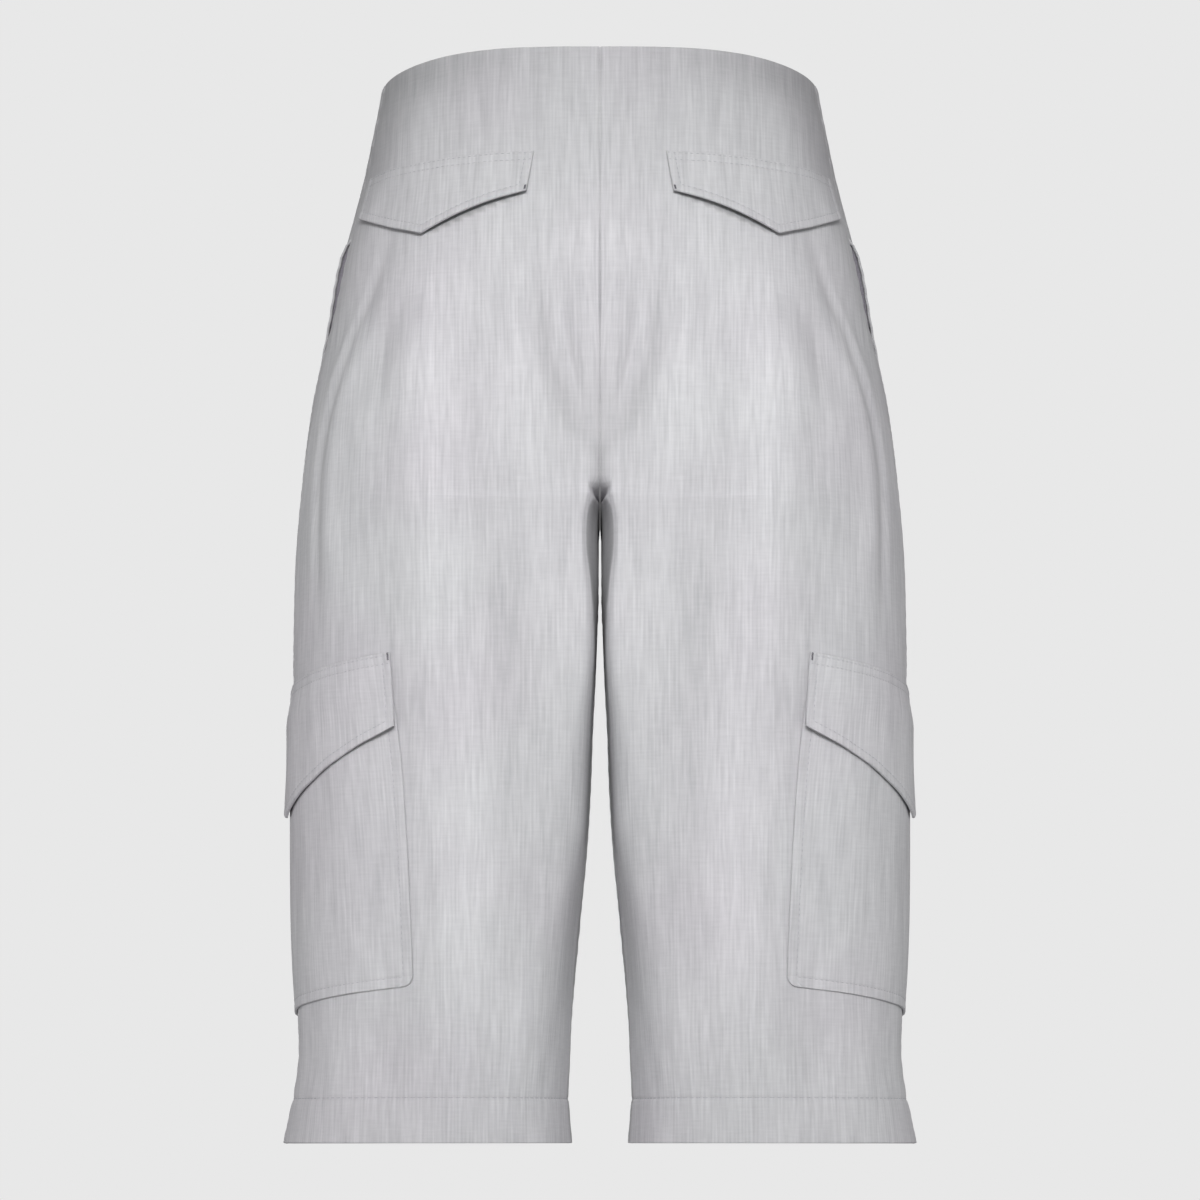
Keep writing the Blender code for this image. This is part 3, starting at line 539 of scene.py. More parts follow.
def linear(hexColour):
    # sRGB hex to linear: ((c + 0.055) / 1.055) ^ 2.4, or c / 12.92 where it is dark
    parts = [int(hexColour[place:place + 2], 16) / 255 for place in (1, 3, 5)]
    return [c / 12.92 if c <= 0.04045 else ((c + 0.055) / 1.055) ** 2.4 for c in parts] + [1.0]


def addNode(tree, kind, settings={}, inputs={}):
    # A node with its settings, and each input set to a value or linked from a socket
    node = tree.nodes.new("ShaderNode" + kind)
    for name, value in settings.items():
        setattr(node, name, value)
    for name, value in inputs.items():
        if isinstance(value, bpy.types.NodeSocket):
            tree.links.new(value, node.inputs[name])
        else:
            node.inputs[name].default_value = value
    return node


def newMaterial(name):
    # A material with its node tree and its Principled shader
    material = bpy.data.materials.new(name)
    material.use_nodes = True
    return material, material.node_tree, material.node_tree.nodes["Principled BSDF"]


suiting = {
    "dark": "#b2b2b5", "light": "#d1d1d3", "roughness": 0.85, "sheen": 0.05,
    "layers": [  # width and length in mm of what shows, and how strongly
        ("warp yarns", 1.25, 20.0, 0.30),
        ("warp pairs", 2.8, 36.0, 0.24),
        ("slubs", 6.0, 60.0, 0.18),
        ("warp bands", 14.0, 120.0, 0.12),
        ("weft yarns", 12.0, 1.1, 0.13),
        ("weft slubs", 24.0, 2.4, 0.05),
        ("cloudiness", 40.0, 70.0, 0.08),
    ],
    "contrast": 2.2, "rib": 2.15, "ribStrength": 0.13, "bump": 0.35, "bumpDepth": 0.00010,
}


def suitingMaterial(name, look):
    # Slubbed linen-and-viscose suiting, plain woven and pressed: matt, pale, with fine uneven upright
    # yarns that are a little lighter or darker, a fainter weft, and a soft nap that catches the light.
    # The yarns are 0.4 mm apart in the cloth, and drawn about 1 mm wide so that they show.
    material, tree, shader = newMaterial(name)
    place = addNode(tree, "TexCoord").outputs["UV"]
    tone = 0.5
    for number, (label, width, length, strength) in enumerate(look["layers"]):
        scale = (1000 / width, 1000 / length, 1.0)
        shift = (7.3 * number, 3.1 * number, 0.0)
        mapped = addNode(tree, "Mapping", {"label": label},
                         {"Vector": place, "Location": shift, "Scale": scale})
        noise = addNode(tree, "TexNoise", {"noise_dimensions": "2D"},
                        {"Vector": mapped.outputs["Vector"], "Scale": 1.0, "Detail": 1.0, "Roughness": 0.5})
        centred = addNode(tree, "Math", {"operation": "SUBTRACT"},
                          {0: noise.outputs["Fac"], 1: 0.5})
        tone = addNode(tree, "Math", {"operation": "MULTIPLY_ADD"},
                       {0: centred.outputs[0], 1: look["contrast"] * strength, 2: tone}).outputs[0]
    # evenly spaced thicker warp yarns: a sine every "rib" mm, which the wave node repeats 20 / (2 pi) times
    ribs = addNode(tree, "TexWave", {"bands_direction": "X"},
                   {"Vector": place, "Scale": np.pi * 100 / look["rib"], "Distortion": 0.9, "Detail": 1.0,
                    "Detail Scale": 0.3})
    raised = addNode(tree, "Math", {"operation": "MULTIPLY_ADD"},
                     {0: ribs.outputs["Fac"], 1: look["ribStrength"], 2: tone}).outputs[0]
    tone = addNode(tree, "Math", {"operation": "SUBTRACT"},
                   {0: raised, 1: look["ribStrength"] / 2}).outputs[0]
    colour = addNode(tree, "Mix", {"data_type": "RGBA"},
                     {0: tone, 6: linear(look["dark"]), 7: linear(look["light"])})
    where = addNode(tree, "TexCoord").outputs["Object"]
    drift = addNode(tree, "TexNoise", {}, {"Vector": where, "Scale": 9.0, "Detail": 1.0})
    warmth = addNode(tree, "MapRange", {},
                     {0: drift.outputs["Fac"], 1: 0.4, 2: 0.7, 3: 0.0, 4: 0.45})
    warm = addNode(tree, "Mix", {"data_type": "RGBA", "blend_type": "MULTIPLY"},
                   {0: warmth.outputs[0], 6: colour.outputs[2], 7: linear("#fbf5fa")})
    # each point's painted light and shade, stored on the mesh, scales the cloth's colour
    lightAndShade = addNode(tree, "Attribute", {"attribute_name": "painted_light_and_shade"}).outputs["Fac"]
    shade = addNode(tree, "Math", {"operation": "ADD"}, {0: lightAndShade, 1: 1.0}).outputs[0]
    toned = addNode(tree, "VectorMath", {"operation": "SCALE"},
                    {0: warm.outputs[2], "Scale": shade})
    tree.links.new(toned.outputs[0], shader.inputs["Base Color"])
    bump = addNode(tree, "Bump", {},
                   {"Height": tone, "Strength": look["bump"], "Distance": look["bumpDepth"]})
    tree.links.new(bump.outputs["Normal"], shader.inputs["Normal"])
    shader.inputs["Roughness"].default_value = look["roughness"]
    shader.inputs["Sheen Weight"].default_value = look["sheen"]
    shader.inputs["Sheen Roughness"].default_value = 0.5
    shader.inputs["Specular IOR Level"].default_value = 0.25
    return material


threadLook = dict(suiting, dark="#8f9096", light="#c4c4c8", bump=0.2, ribStrength=0.0)
threadLook["layers"] = [("twisted plies", 0.5, 0.25, 0.8)]
tapeLook = dict(suiting, dark="#75767c", light="#8f9096", ribStrength=0.0)
tapeLook["layers"] = [("warp yarns", 0.6, 6.0, 0.5), ("weft yarns", 5.0, 0.6, 0.6)]
suitingCloth = suitingMaterial("woven_slubbed_suiting", suiting)
sewingThread = suitingMaterial("spun_polyester_sewing_thread", threadLook)
tackLook = dict(threadLook, dark="#4c4a50", light="#77757b")
tackThread = suitingMaterial("spun_polyester_bar_tack_thread", tackLook)
zipTape = suitingMaterial("woven_polyester_zip_tape", tapeLook)
pocketingLook = dict(suiting, dark="#6f6c74", light="#8a878e", ribStrength=0.0)
pocketingLook["layers"] = [("warp yarns", 0.5, 5.0, 0.4), ("weft yarns", 5.0, 0.5, 0.4),
                           ("cloudiness", 40.0, 70.0, 0.2)]
pocketing = suitingMaterial("woven_cotton_pocketing", pocketingLook)


def nylonMaterial(name, colour, roughness):
    # Moulded nylon: smooth and slightly glossy, with a faint mottle
    material, tree, shader = newMaterial(name)
    where = addNode(tree, "TexCoord").outputs["Object"]
    mottle = addNode(tree, "TexNoise", {}, {"Vector": where, "Scale": 900.0, "Detail": 2.0})
    mix = addNode(tree, "Mix", {"data_type": "RGBA"},
                  {0: mottle.outputs["Fac"], 6: linear(colour), 7: linear("#a9aab0")})
    tree.links.new(mix.outputs[2], shader.inputs["Base Color"])
    shader.inputs["Roughness"].default_value = roughness
    return material


zipNylon = nylonMaterial("moulded_nylon_coil", "#85868c", 0.38)
print("shorts: materials ready")

# Panels

panel = {"columnStep": 0.0095, "rowStep": 0.0026,
         "seamSpots": [0.0, 0.0010, 0.0022, 0.0036, 0.0060],
         "edgeSpots": [0.0, 0.00012, 0.0003, 0.0006, 0.0012],
         "fold": 0.331, "foldSpots": np.linspace(-0.0150, 0.0150, 21),  # where the leg's inner corner runs
         "stitchSpots": [-0.0016, -0.0008, -0.0003, 0.0, 0.0003, 0.0008, 0.0016],
         "crotchSpots": np.array([0.2, 0.5, 1, 2, 3, 4.5, 6, 8, 10, 13, 17, 22, 30, 40, 55, 75, 100]) * 1e-4}
hemLine = cut["hem"] + cut["hemDepth"]


def panelPlaces(first):
    # Columns close together beside both seams, rows close together at the rim, the hem's stitches
    # and the bottom edge
    near = np.array(panel["seamSpots"])
    step = panel["columnStep"]
    even = np.arange(near[-1] + step, 1 - near[-1] - step / 2, step)
    u = first + np.concatenate([near, even, 1 - near[::-1]])
    if first == 0:
        u = withFine(u.tolist(), [panel["fold"]], panel["foldSpots"])
    edge = np.array(panel["edgeSpots"])
    rows = withFine(np.arange(cut["hem"], 0, panel["rowStep"]).tolist() + [0.0],
                    [0.0, cut["hem"], hemLine], np.concatenate([edge, -edge, panel["stitchSpots"]]))
    rows = np.unique(np.round(np.concatenate([rows, cut["crotch"] + panel["crotchSpots"]]), 7))
    return u[None, :], rows[::-1][:, None]


def seamDistance(u, z, first):
    # Distance to the panel's nearer seam
    around = aroundAt(u, z)
    return np.minimum(np.abs(around - aroundAt(first, z)), np.abs(around - aroundAt(first + 1.0, z)))


def seamDetail(u, z, first):
    # Seams dip in and pucker; the hem's stitches pull in a groove, and the turned-up hem is fuller
    distance = seamDistance(u, z, first)
    dip = -cloth["seamDip"] * bell(distance / cloth["seamDipWidth"])
    wave = np.sin(2 * np.pi * z / cloth["puckerLength"] + 1.7 * np.sin(z / 0.017) + 3 * first)
    pucker = cloth["pucker"] * wave * np.exp(-distance / cloth["puckerReach"])
    fromLine = z - hemLine
    groove = -cloth["hemGroove"] * bell(fromLine / cloth["hemGrooveWidth"])
    gather = cloth["hemGather"] * np.sin(2 * np.pi * aroundAt(u, z) / cloth["hemGatherLength"])
    gather = gather * np.exp(-np.abs(fromLine) / cloth["stitchReach"])
    notch = bell(fromLine / cloth["stitchReach"]) * np.exp(-distance / cloth["stitchReach"])
    notch = -cloth["notch"] * notch
    full = cloth["hemFull"] * smoothStep(-fromLine / 0.003)
    return dip + pucker + groove + gather + notch + full


# The grain runs plumb down the middle of each panel, at this distance from the centre plane, among the
# table's columns up to the side seam, and among those from the centre front back to this one
grainX = 0.088
frontColumn = 199


def grainLine(columns):
    # Where the plumb line crosses each row of the table, as a distance from the side seam
    rows = zip(tablePoints[:, columns, 0], tableSide[:, columns])
    return np.array([np.interp(grainX, -x, run) for x, run in rows])


backGrain = grainLine(slice(0, sideColumn + 1))
frontGrain = grainLine(slice(None, frontColumn, -1))


def clothUv(u, z):
    # Distance around from the plumb grain line, and height
    around = aroundAt(u, z)
    line = np.where(u <= 1, np.interp(-z, -tableZ, backGrain), np.interp(-z, -tableZ, frontGrain))
    return np.stack(np.broadcast_arrays(around - line + np.where(u <= 1, 0.3, 1.1), z + 0.7), axis=-1)


def buildPanel(name, first):
    # The back panels' first u is 0 and the front panels' is 1
    u, z = panelPlaces(first)
    u, z = np.broadcast_arrays(u, z)
    outer = offForm(u, z, clothHeight(u, z) + first * slitStand(u, z) + seamDetail(u, z, first))
    normals = gridNormals(outer)
    wall = cloth["wall"] + (cloth["hemWall"] - cloth["wall"]) * smoothStep((hemLine + 0.0008 - z) / 0.0010)
    height = np.minimum(-z, z - cut["hem"])
    inner = outer - normals * (wall - roundedEdge(height, cloth["wall"]))[..., None]
    outer = outer - normals * roundedEdge(height, cloth["wall"])[..., None]
    for grid in (outer, inner):
        grid[..., 0] = np.minimum(grid[..., 0], -0.00005)
    # painted light and shade of the outer face; the inner face has it without the seams' and flaps' painted
    # shade, and on the front panel painted shade inside the side pocket's opening, as deep as slit["facing"]
    tone = paintedLightAndShadeTone(u, z)
    slitShadeShare = smoothStep(3 * slitStand(u, z) / slit["stand"])
    facing = paintedLightAndShadeTone(u, z, False) - first * slit["facing"] * slitShadeShare
    uv = clothUv(u, z)
    for side, piece in bothSides(f"{name}_panel", name, outer, inner, uv, suitingCloth, (tone, facing)):
        panels[f"{name}_{side}"] = piece


panels = {}
buildPanel("back", 0.0)
buildPanel("front", 1.0)
print("shorts: panels ready")

# Patches: flaps and pockets that lie on the panels


def onGrid(grid, a, b, alongA, alongB):
    # A grid's value at shares a across and b down, between its four nearest points
    column = np.interp(a, alongA, np.arange(len(alongA)))
    row = np.interp(b, alongB, np.arange(len(alongB)))
    left = np.minimum(column.astype(int), len(alongA) - 2)
    top = np.minimum(row.astype(int), len(alongB) - 2)
    partX, partY = (column - left)[..., None], (row - top)[..., None]
    upper = grid[top, left] * (1 - partX) + grid[top, left + 1] * partX
    lower = grid[top + 1, left] * (1 - partX) + grid[top + 1, left + 1] * partX
    return upper * (1 - partY) + lower * partY


def edgeShares(length, step, inset):
    # Shares 0 to 1 of a length, close together at both ends and at the stitches inside them
    places = np.arange(0, length, step).tolist() + [length]
    spots = [0.0, length, inset, length - inset]
    offsets = [0.0, 0.0002, -0.0002, 0.0005, -0.0005, 0.0009, -0.0009, 0.0016, -0.0016]
    return withFine(places, spots, offsets) / length


def stitchGroove(distances, inset):
    # A groove along each stitched line, at its inset from the edge
    depth = 0
    for distance in distances:
        depth = depth - cloth["groove"] * bell((distance - inset) / cloth["grooveWidth"])
    return depth


def stitchLine(points, normals, look):
    # One row of stitches along a path: each is a thin tube of rings that rises out of the cloth and
    # dips back, centre + radius x (side x cos + up x sin)
    run = runAlong(points)
    count = max(int(run[-1] / look["pitch"]), 1)
    starts = (np.arange(count) + 0.5) * run[-1] / count
    t = np.linspace(-0.5, 0.5, 5)
    at = starts[:, None] + t[None, :] * look["length"]
    centre = pickedAt(at, run, points)
    up = unit(pickedAt(at, run, normals))
    along = unit(np.gradient(centre, axis=1))
    side = unit(np.cross(along, up))
    arch = np.cos(np.pi * t)[None, :, None]
    centre = centre + up * (look["rise"] * (arch - 0.35) - 0.0001)
    radius = look["radius"] * (0.55 + 0.45 * arch)
    turn = np.linspace(0, 2 * np.pi, 6, endpoint=False)
    ring = side[:, :, None] * np.cos(turn)[:, None] + up[:, :, None] * np.sin(turn)[:, None]
    vertices = centre[:, :, None] + ring * radius[:, :, None]
    return vertices.reshape(-1, 3), *tubeFaces(count, len(t), len(turn))


thread = {"pitch": 0.0032, "length": 0.0024, "radius": 0.00020, "rise": 0.00030}
hemThread = dict(thread, pitch=0.0042, length=0.0032, radius=0.00022)
tackStitch = dict(thread, length=0.0020, radius=0.00026, count=8, step=0.0130, wide=0.0090)  # shares


def stitchObject(name, lines, look, flip, material=sewingThread):
    # All the rows of stitches on one piece as one mesh
    vertices, faces, start = [], [], 0
    for points, normals in lines:
        found, walls, caps = stitchLine(points, normals, look)
        vertices.append(found)
        faces += (walls + start).tolist() + (caps + start).tolist()
        start += len(found)
    vertices = np.concatenate(vertices)
    if flip:
        vertices, faces = mirrored(vertices), [face[::-1] for face in faces]
    uv = np.stack([vertices[:, 0] + vertices[:, 1], vertices[:, 2]], axis=-1)
    return meshObject(name, vertices, faces, material, "suiting", uv)


def tackLines(outer, facing, alongA, alongB, a, b, tack):
    # A bar tack: short stitches close together down a place of the patch
    lines = []
    for number in range(tack["count"]):
        share = b + number * tack["step"]
        across = a + np.linspace(-0.5, 0.5, 3) * tack["wide"]
        down = share + 0 * across
        lines.append([onGrid(grid, across, down, alongA, alongB) for grid in (outer, facing)])
    return lines


def buildPatch(name, node, around, height, stand, detail, lines, alongA, alongB, wall, uv, tacks=()):
    # The cloth below the patch's grid of places, moved out by its stand and its own relief
    u, z = placeAt(around, height)
    base = clothAt(u, z)
    normals = gridNormals(base)
    inner = base + normals * stand[..., None]
    outer = inner + normals * (wall + detail)[..., None]
    facing = gridNormals(outer)
    # painted light and shade, at 0.8 of the panels'; the cargo pockets also get the painted shadow under the
    # cargo flap
    tone = 0.8 * paintedLightAndShadeTone(u, z, name.startswith("cargo_pocket"))
    rows = [[onGrid(grid, a, b, alongA, alongB) for grid in (outer, facing)] for a, b in lines]
    tackRows = []
    for a, b in tacks:
        tackRows += tackLines(outer, facing, alongA, alongB, a, b, tackStitch)
    made = {}
    for side, piece in bothSides(name, node, outer, inner, uv, suitingCloth, (tone, tone)):
        flip = side == "right"
        sewn = [stitchObject(f"{name}_stitches_{side}", rows, thread, flip)]
        if tackRows:
            sewn.append(stitchObject(f"{name}_tacks_{side}", tackRows, tackStitch, flip, tackThread))
        made[side] = (piece, sewn)
    return made


def flapRelief(edges, top, around, look):
    # Grooves along the stitches, a slight gather below the top seam, and rounded edges
    relief = stitchGroove(edges, look["inset"])
    for row in look["rows"]:
        relief = relief + stitchGroove([top], row)
    gather = cloth["gather"] * np.sin(2 * np.pi * around / look["gather"])
    relief = relief + gather * np.exp(-top / cloth["stitchReach"])
    for edge in edges + [top]:
        relief = relief - roundedEdge(edge, look["wall"])
    return relief


def flapLines(a, width, length, look):
    # Stitched rows, in shares of the flap: two along the top seam, one inside the lower edge and one
    # inside each side
    full = np.linspace(0, 1, look["points"])
    tall = np.interp(full, a, length)
    side = look["inset"] / width
    inside = side + (1 - 2 * side) * full
    low = 1 - look["inset"] / look["slack"] / np.interp(inside, a, length)
    upright = np.linspace(look["first"], 1, 60)
    sides = [(share + 0 * upright, upright * end) for share, end in ((side, low[0]), (1 - side, low[-1]))]
    return [(full, row / tall) for row in look["rows"]] + [(inside, low)] + sides


backFlap = {  # corners as distances from the centre plane and heights, then the lower edge's shape
    "innerTop": (0.0372, -0.0556), "outerTop": (0.155, -0.059), "innerLow": -0.0815, "outerLow": -0.0845,
    "pointShare": 0.52, "point": -0.1035, "bow": 0.0022, "lean": 0.0036,
    "wall": 0.0016, "stand": 0.0005, "lift": 0.0042,
    "inset": 0.0046, "rows": (0.0012, 0.0055), "gather": 0.0065, "slack": 0.93, "first": 0.02, "points": 160,
}


def buildBackFlaps():
    # Five-sided flap: straight top, lower edge of two runs that meet in a point, bowed a little
    flap = backFlap
    width = flap["outerTop"][0] - flap["innerTop"][0]
    a = edgeShares(width, 0.0011, flap["inset"])
    b = edgeShares(0.036, 0.0010, flap["inset"])
    across, down = np.meshgrid(a, b)
    fromCentre = flap["innerTop"][0] + width * across + flap["lean"] * down
    top = flap["innerTop"][1] + (flap["outerTop"][1] - flap["innerTop"][1]) * across
    share = across / flap["pointShare"]
    rest = (1 - across) / (1 - flap["pointShare"])
    bow = flap["bow"] * np.sin(np.pi * np.clip(share, 0, 1))
    inner = flap["innerLow"] + (flap["point"] - flap["innerLow"]) * share + bow
    outer = flap["outerLow"] + (flap["point"] - flap["outerLow"]) * rest
    length = top - np.where(across < flap["pointShare"], inner, outer)
    height = top - length * down
    around = fromCentre + aroundAt(0.0, height)
    lift = flap["lift"] * down**2 * (0.30 + 0.60 * bell((across - 0.25) / 0.40))
    edges = [across * width, (1 - across) * width, (1 - down) * length * flap["slack"]]
    relief = flapRelief(edges, down * length, around, flap)
    lines = flapLines(a, width, length[0], flap)
    uv = np.stack([fromCentre + 2.013, height + 0.911], axis=-1)
    return buildPatch("back_flap_cloth", "back_flap", around, height, flap["stand"] + lift, relief, lines,
                      a, b, flap["wall"], uv, tacks=[(0.008, 0.88)])


def cargoHeight(around, fromTop):
    # The pocket is turned a little, so its lines fall towards the front
    return cargo["top"] - fromTop - cargo["tilt"] * (around - cargo["rear"])


def buildCargoPockets():
    width = cargo["front"] - cargo["rear"]
    tall = cargo["pocketLength"] - cargo["pocketTop"]
    a = edgeShares(width, 0.0018, cargo["inset"])
    b = edgeShares(tall, 0.0018, cargo["inset"])
    across, down = np.meshgrid(a, b)
    fromRear, fromFront, fromLow = across * width, (1 - across) * width, (1 - down) * tall
    # the lower corners are cut off in a quarter round: rows near the bottom draw in at both sides
    draw = quarterRound(fromLow, cargo["corner"])
    around = cargo["rear"] + fromRear + draw * (1 - 2 * across)
    height = cargoHeight(around, cargo["pocketTop"] + down * tall)
    full = cargo["fullness"] * np.sin(np.pi * across) ** 0.7
    full = full * np.sin(np.pi * np.clip(down, 0, 1) * 0.5 + np.pi / 2)
    full = full * smoothStep(fromRear / 0.02) * smoothStep(fromFront / 0.02) * smoothStep(fromLow / 0.02)
    stand = cargo["stand"] + full
    edges = [fromRear, fromFront, fromLow]
    relief = stitchGroove(edges, cargo["inset"])
    wave = 2 * np.pi / cargo["pullLength"]
    pull = cargo["pull"] * np.sin(wave * height) * np.exp(-np.minimum(fromRear, fromFront) / 0.010)
    relief = relief + pull + cargo["pull"] * np.sin(wave * around) * np.exp(-fromLow / 0.008)
    for edge in edges:
        relief = relief - roundedEdge(edge, cargo["wall"])
    side, lowest = cargo["inset"] / width, 1 - cargo["inset"] / tall
    upright = np.linspace(0.0, lowest, 150)
    level = np.linspace(side, 1 - side, 160)
    lines = [(side + 0 * upright, upright), (1 - side + 0 * upright, upright), (level, lowest + 0 * level)]
    uv = np.stack([around + 2.613, height + 0.711], axis=-1)
    return buildPatch("cargo_pocket_cloth", "cargo_pocket", around, height, stand, relief, lines,
                      a, b, cargo["wall"], uv)


cargoFlap = {"wall": 0.0016, "inset": 0.0046, "rows": (0.0016, 0.0060), "gather": 0.0070, "slack": 0.94,
             "first": 0.03, "points": 180}


def buildCargoFlaps():
    # As the back flaps, with the point in the middle, over the pocket's fullness
    width = cargo["front"] - cargo["rear"]
    a = edgeShares(width, 0.0016, cargo["inset"])
    b = edgeShares(cargo["flapPoint"] * 0.8, 0.0014, cargo["inset"])
    across, down = np.meshgrid(a, b)
    length = cargo["flapSide"] + (cargo["flapPoint"] - cargo["flapSide"]) * (1 - np.abs(2 * across - 1))
    top = down * length
    around = cargo["rear"] + across * width - cargo["flapFlare"] * (1 - down) * (1 - across)
    height = cargoHeight(around, top)
    corner = bell(across / 0.10) + bell((1 - across) / 0.10)
    full = cargo["fullness"] * 0.9 * np.sin(np.pi * np.clip(across, 0, 1)) ** 0.6
    overPocket = (cargo["wall"] + full) * smoothStep(top / 0.022)
    stand = cargo["stand"] + overPocket + cargo["flapLift"] * down**2 * (0.42 + 0.75 * corner)
    edges = [across * width, (1 - across) * width, (1 - down) * length * cargoFlap["slack"]]
    relief = flapRelief(edges, top, around, cargoFlap)
    lines = flapLines(a, width, length[0], cargoFlap)
    uv = np.stack([around + 3.113, height + 0.211], axis=-1)
    return buildPatch("cargo_flap_cloth", "cargo_flap", around, height, stand, relief, lines,
                      a, b, cargoFlap["wall"], uv, tacks=[(0.005, 0.01), (0.995, 0.01)])


backFlaps = buildBackFlaps()
cargoPockets = buildCargoPockets()
cargoFlaps = buildCargoFlaps()
print("shorts: flaps and pockets ready")


def surfaceLine(u, z):
    # Points and normals of the cloth's face along a line of places
    near = clothAt(np.stack([u, u + 0.004]), np.stack([z, z]))
    below = clothAt(u, z - 0.0008)
    normals = unit(np.cross(near[1] - near[0], below - near[0]))
    return near[0], normals


def buildHemStitches():
    lines = []
    for first in (0.0, 1.0):
        u = first + np.linspace(0.003, 0.997, 240)
        z = np.full_like(u, hemLine)
        points, normals = surfaceLine(u, z)
        lines.append((points + normals * (seamDetail(u, z, first) + 0.00005)[:, None], normals))
    return {side: stitchObject(f"hem_stitches_{side}", lines, hemThread, side == "right")
            for side in ("left", "right")}


hemStitches = buildHemStitches()

flyLine = {"aside": 0.028, "top": -0.006, "turn": -0.138, "end": -0.164}


def buildFlyStitches():
    # Down beside the centre front, then a quarter of an ellipse into the seam, on the left front
    down = np.linspace(flyLine["top"], flyLine["turn"], 90)
    bend = np.linspace(0, np.pi / 2, 40)[1:-2]
    aside = np.concatenate([np.full(90, flyLine["aside"]), flyLine["aside"] * np.cos(bend)])
    height = np.concatenate([down, flyLine["turn"] + (flyLine["end"] - flyLine["turn"]) * np.sin(bend)])
    u, z = placeAt(aroundAt(2.0, height) - aside, height)
    points, normals = surfaceLine(u, z)
    return stitchObject("fly_stitches", [(points, normals)], thread, False)


flyStitches = buildFlyStitches()

# Inside pieces

bag = {"rear": -0.014, "front": 0.105, "top": -0.052, "low": -0.225, "corner": 0.030,
       "behind": 0.0019, "wall": 0.0008}
fly = {"top": 0.006, "shieldLeft": 0.010, "shieldRight": -0.028, "shieldLength": 0.160,
       "shieldBehind": 0.0045, "wall": 0.0009, "zipHalf": 0.012, "zipLength": 0.150, "zipBehind": 0.0021,
       "toothPitch": 0.0022, "toothWidth": 0.0034, "coilThick": 0.0004, "pullThick": 0.0005}
zipParts = {  # distance from the top, length, half width, and how far behind the tape
    "fly_zip_slider": (0.004, 0.009, 0.0040, 0.0006), "fly_zip_pull": (0.011, 0.016, 0.0024, 0.0011),
}


def buildBags():
    # Pocket bag inside the front, with rounded lower corners
    width, tall = bag["front"] - bag["rear"], bag["top"] - bag["low"]
    a, b = np.linspace(0, 1, 50), np.linspace(0, 1, 70)
    across, down = np.meshgrid(a, b)
    fromLow = (1 - down) * tall
    draw = quarterRound(fromLow, bag["corner"])
    around = bag["rear"] + across * width + draw * (1 - 2 * across)
    u, z = placeAt(around, bag["top"] - down * tall)
    base = clothAt(u, z)
    normals = gridNormals(base)
    outer = base - normals * bag["behind"]
    inner = outer - normals * bag["wall"]
    uv = np.stack([around + 0.2, -down * tall], axis=-1)
    return dict(bothSides("side_pocket_bag", "side_pocket", outer, inner, uv, pocketing))


def flyStrip(left, right, length, stand, columns=24, rows=80):
    # A strip inside the centre front, from one distance beside its seam to another
    aside, down = np.meshgrid(np.linspace(left, right, columns), np.linspace(0, 1, rows))
    height = -cut["frontDrop"] - fly["top"] - (length - fly["top"]) * down
    _, level = placeAt(aroundAt(2.0, height) - 0.010, height)
    u, z = placeAt(aroundAt(2.0, level) - np.abs(aside), height)
    u = np.minimum(u, 2.0)
    points = formAt(u, z)
    normals = formNormals(u, z)
    flip = np.where(aside < 0, -1.0, 1.0)[..., None] * np.array([1.0, 0, 0]) + np.array([0, 1.0, 1.0])
    points, normals = points * flip, normals * flip
    outer = points - normals * stand
    return outer, outer - normals * fly["wall"], np.stack([aside + 0.5, height], axis=-1), normals


def tubeObject(name, rings):
    # A closed tube through its rings of points, with flat ends
    walls, caps = tubeFaces(1, *rings.shape[:2])
    vertices, faces = rings.reshape(-1, 3), walls.tolist() + caps.tolist()
    corner = vertices[walls]
    across = np.cross(corner[:, 1] - corner[:, 0], corner[:, 2] - corner[:, 1])
    if np.sum((corner[:, 0] - vertices.mean(axis=0)) * across) < 0:
        faces = [face[::-1] for face in faces]
    return meshObject(name, vertices, faces, zipNylon, "zip_tape", sharpAngle=50.0)


def flatTube(middle, across, up, wide, high, around=12):
    # Rings about a path: middle + across x wide x cos + up x high x sin
    turn = np.linspace(0, 2 * np.pi, around, endpoint=False)
    return (middle[:, None] + across[:, None] * (wide[:, None] * np.cos(turn))[..., None]
            + up[:, None] * (high[:, None] * np.sin(turn))[..., None])


def buildZip():
    # Coil: a flat tube that swells at each tooth. Slider and pull: flat tubes that narrow at both ends,
    # (1 - |2 share - 1|^6)^(1/2)
    _, inner, _, normals = flyStrip(0.001, -0.001, fly["zipLength"], fly["zipBehind"], 3, 420)
    middle, up = inner[:, 1], normals[:, 1]
    run = runAlong(middle)
    across = np.tile([1.0, 0.0, 0.0], (len(run), 1))
    swell = 1 + 0.22 * np.cos(2 * np.pi * run / fly["toothPitch"])
    thick = fly["coilThick"]
    rings = flatTube(middle - up * thick, across, up, fly["toothWidth"] / 2 * swell, thick * swell)
    made = [tubeObject("fly_zip_coil", rings)]
    for name, (start, length, wide, stand) in zipParts.items():
        share = np.linspace(0, 1, 24)
        at = start + length * share
        spine, lean = pickedAt(at, run, middle - up * stand), pickedAt(at, run, up)
        ends = (1 - np.abs(2 * share - 1) ** 6) ** 0.5 * 0.96 + 0.04
        rings = flatTube(spine, across[:24], lean, wide * ends, fly["pullThick"] * ends, 16)
        made.append(tubeObject(name, rings))
    return made


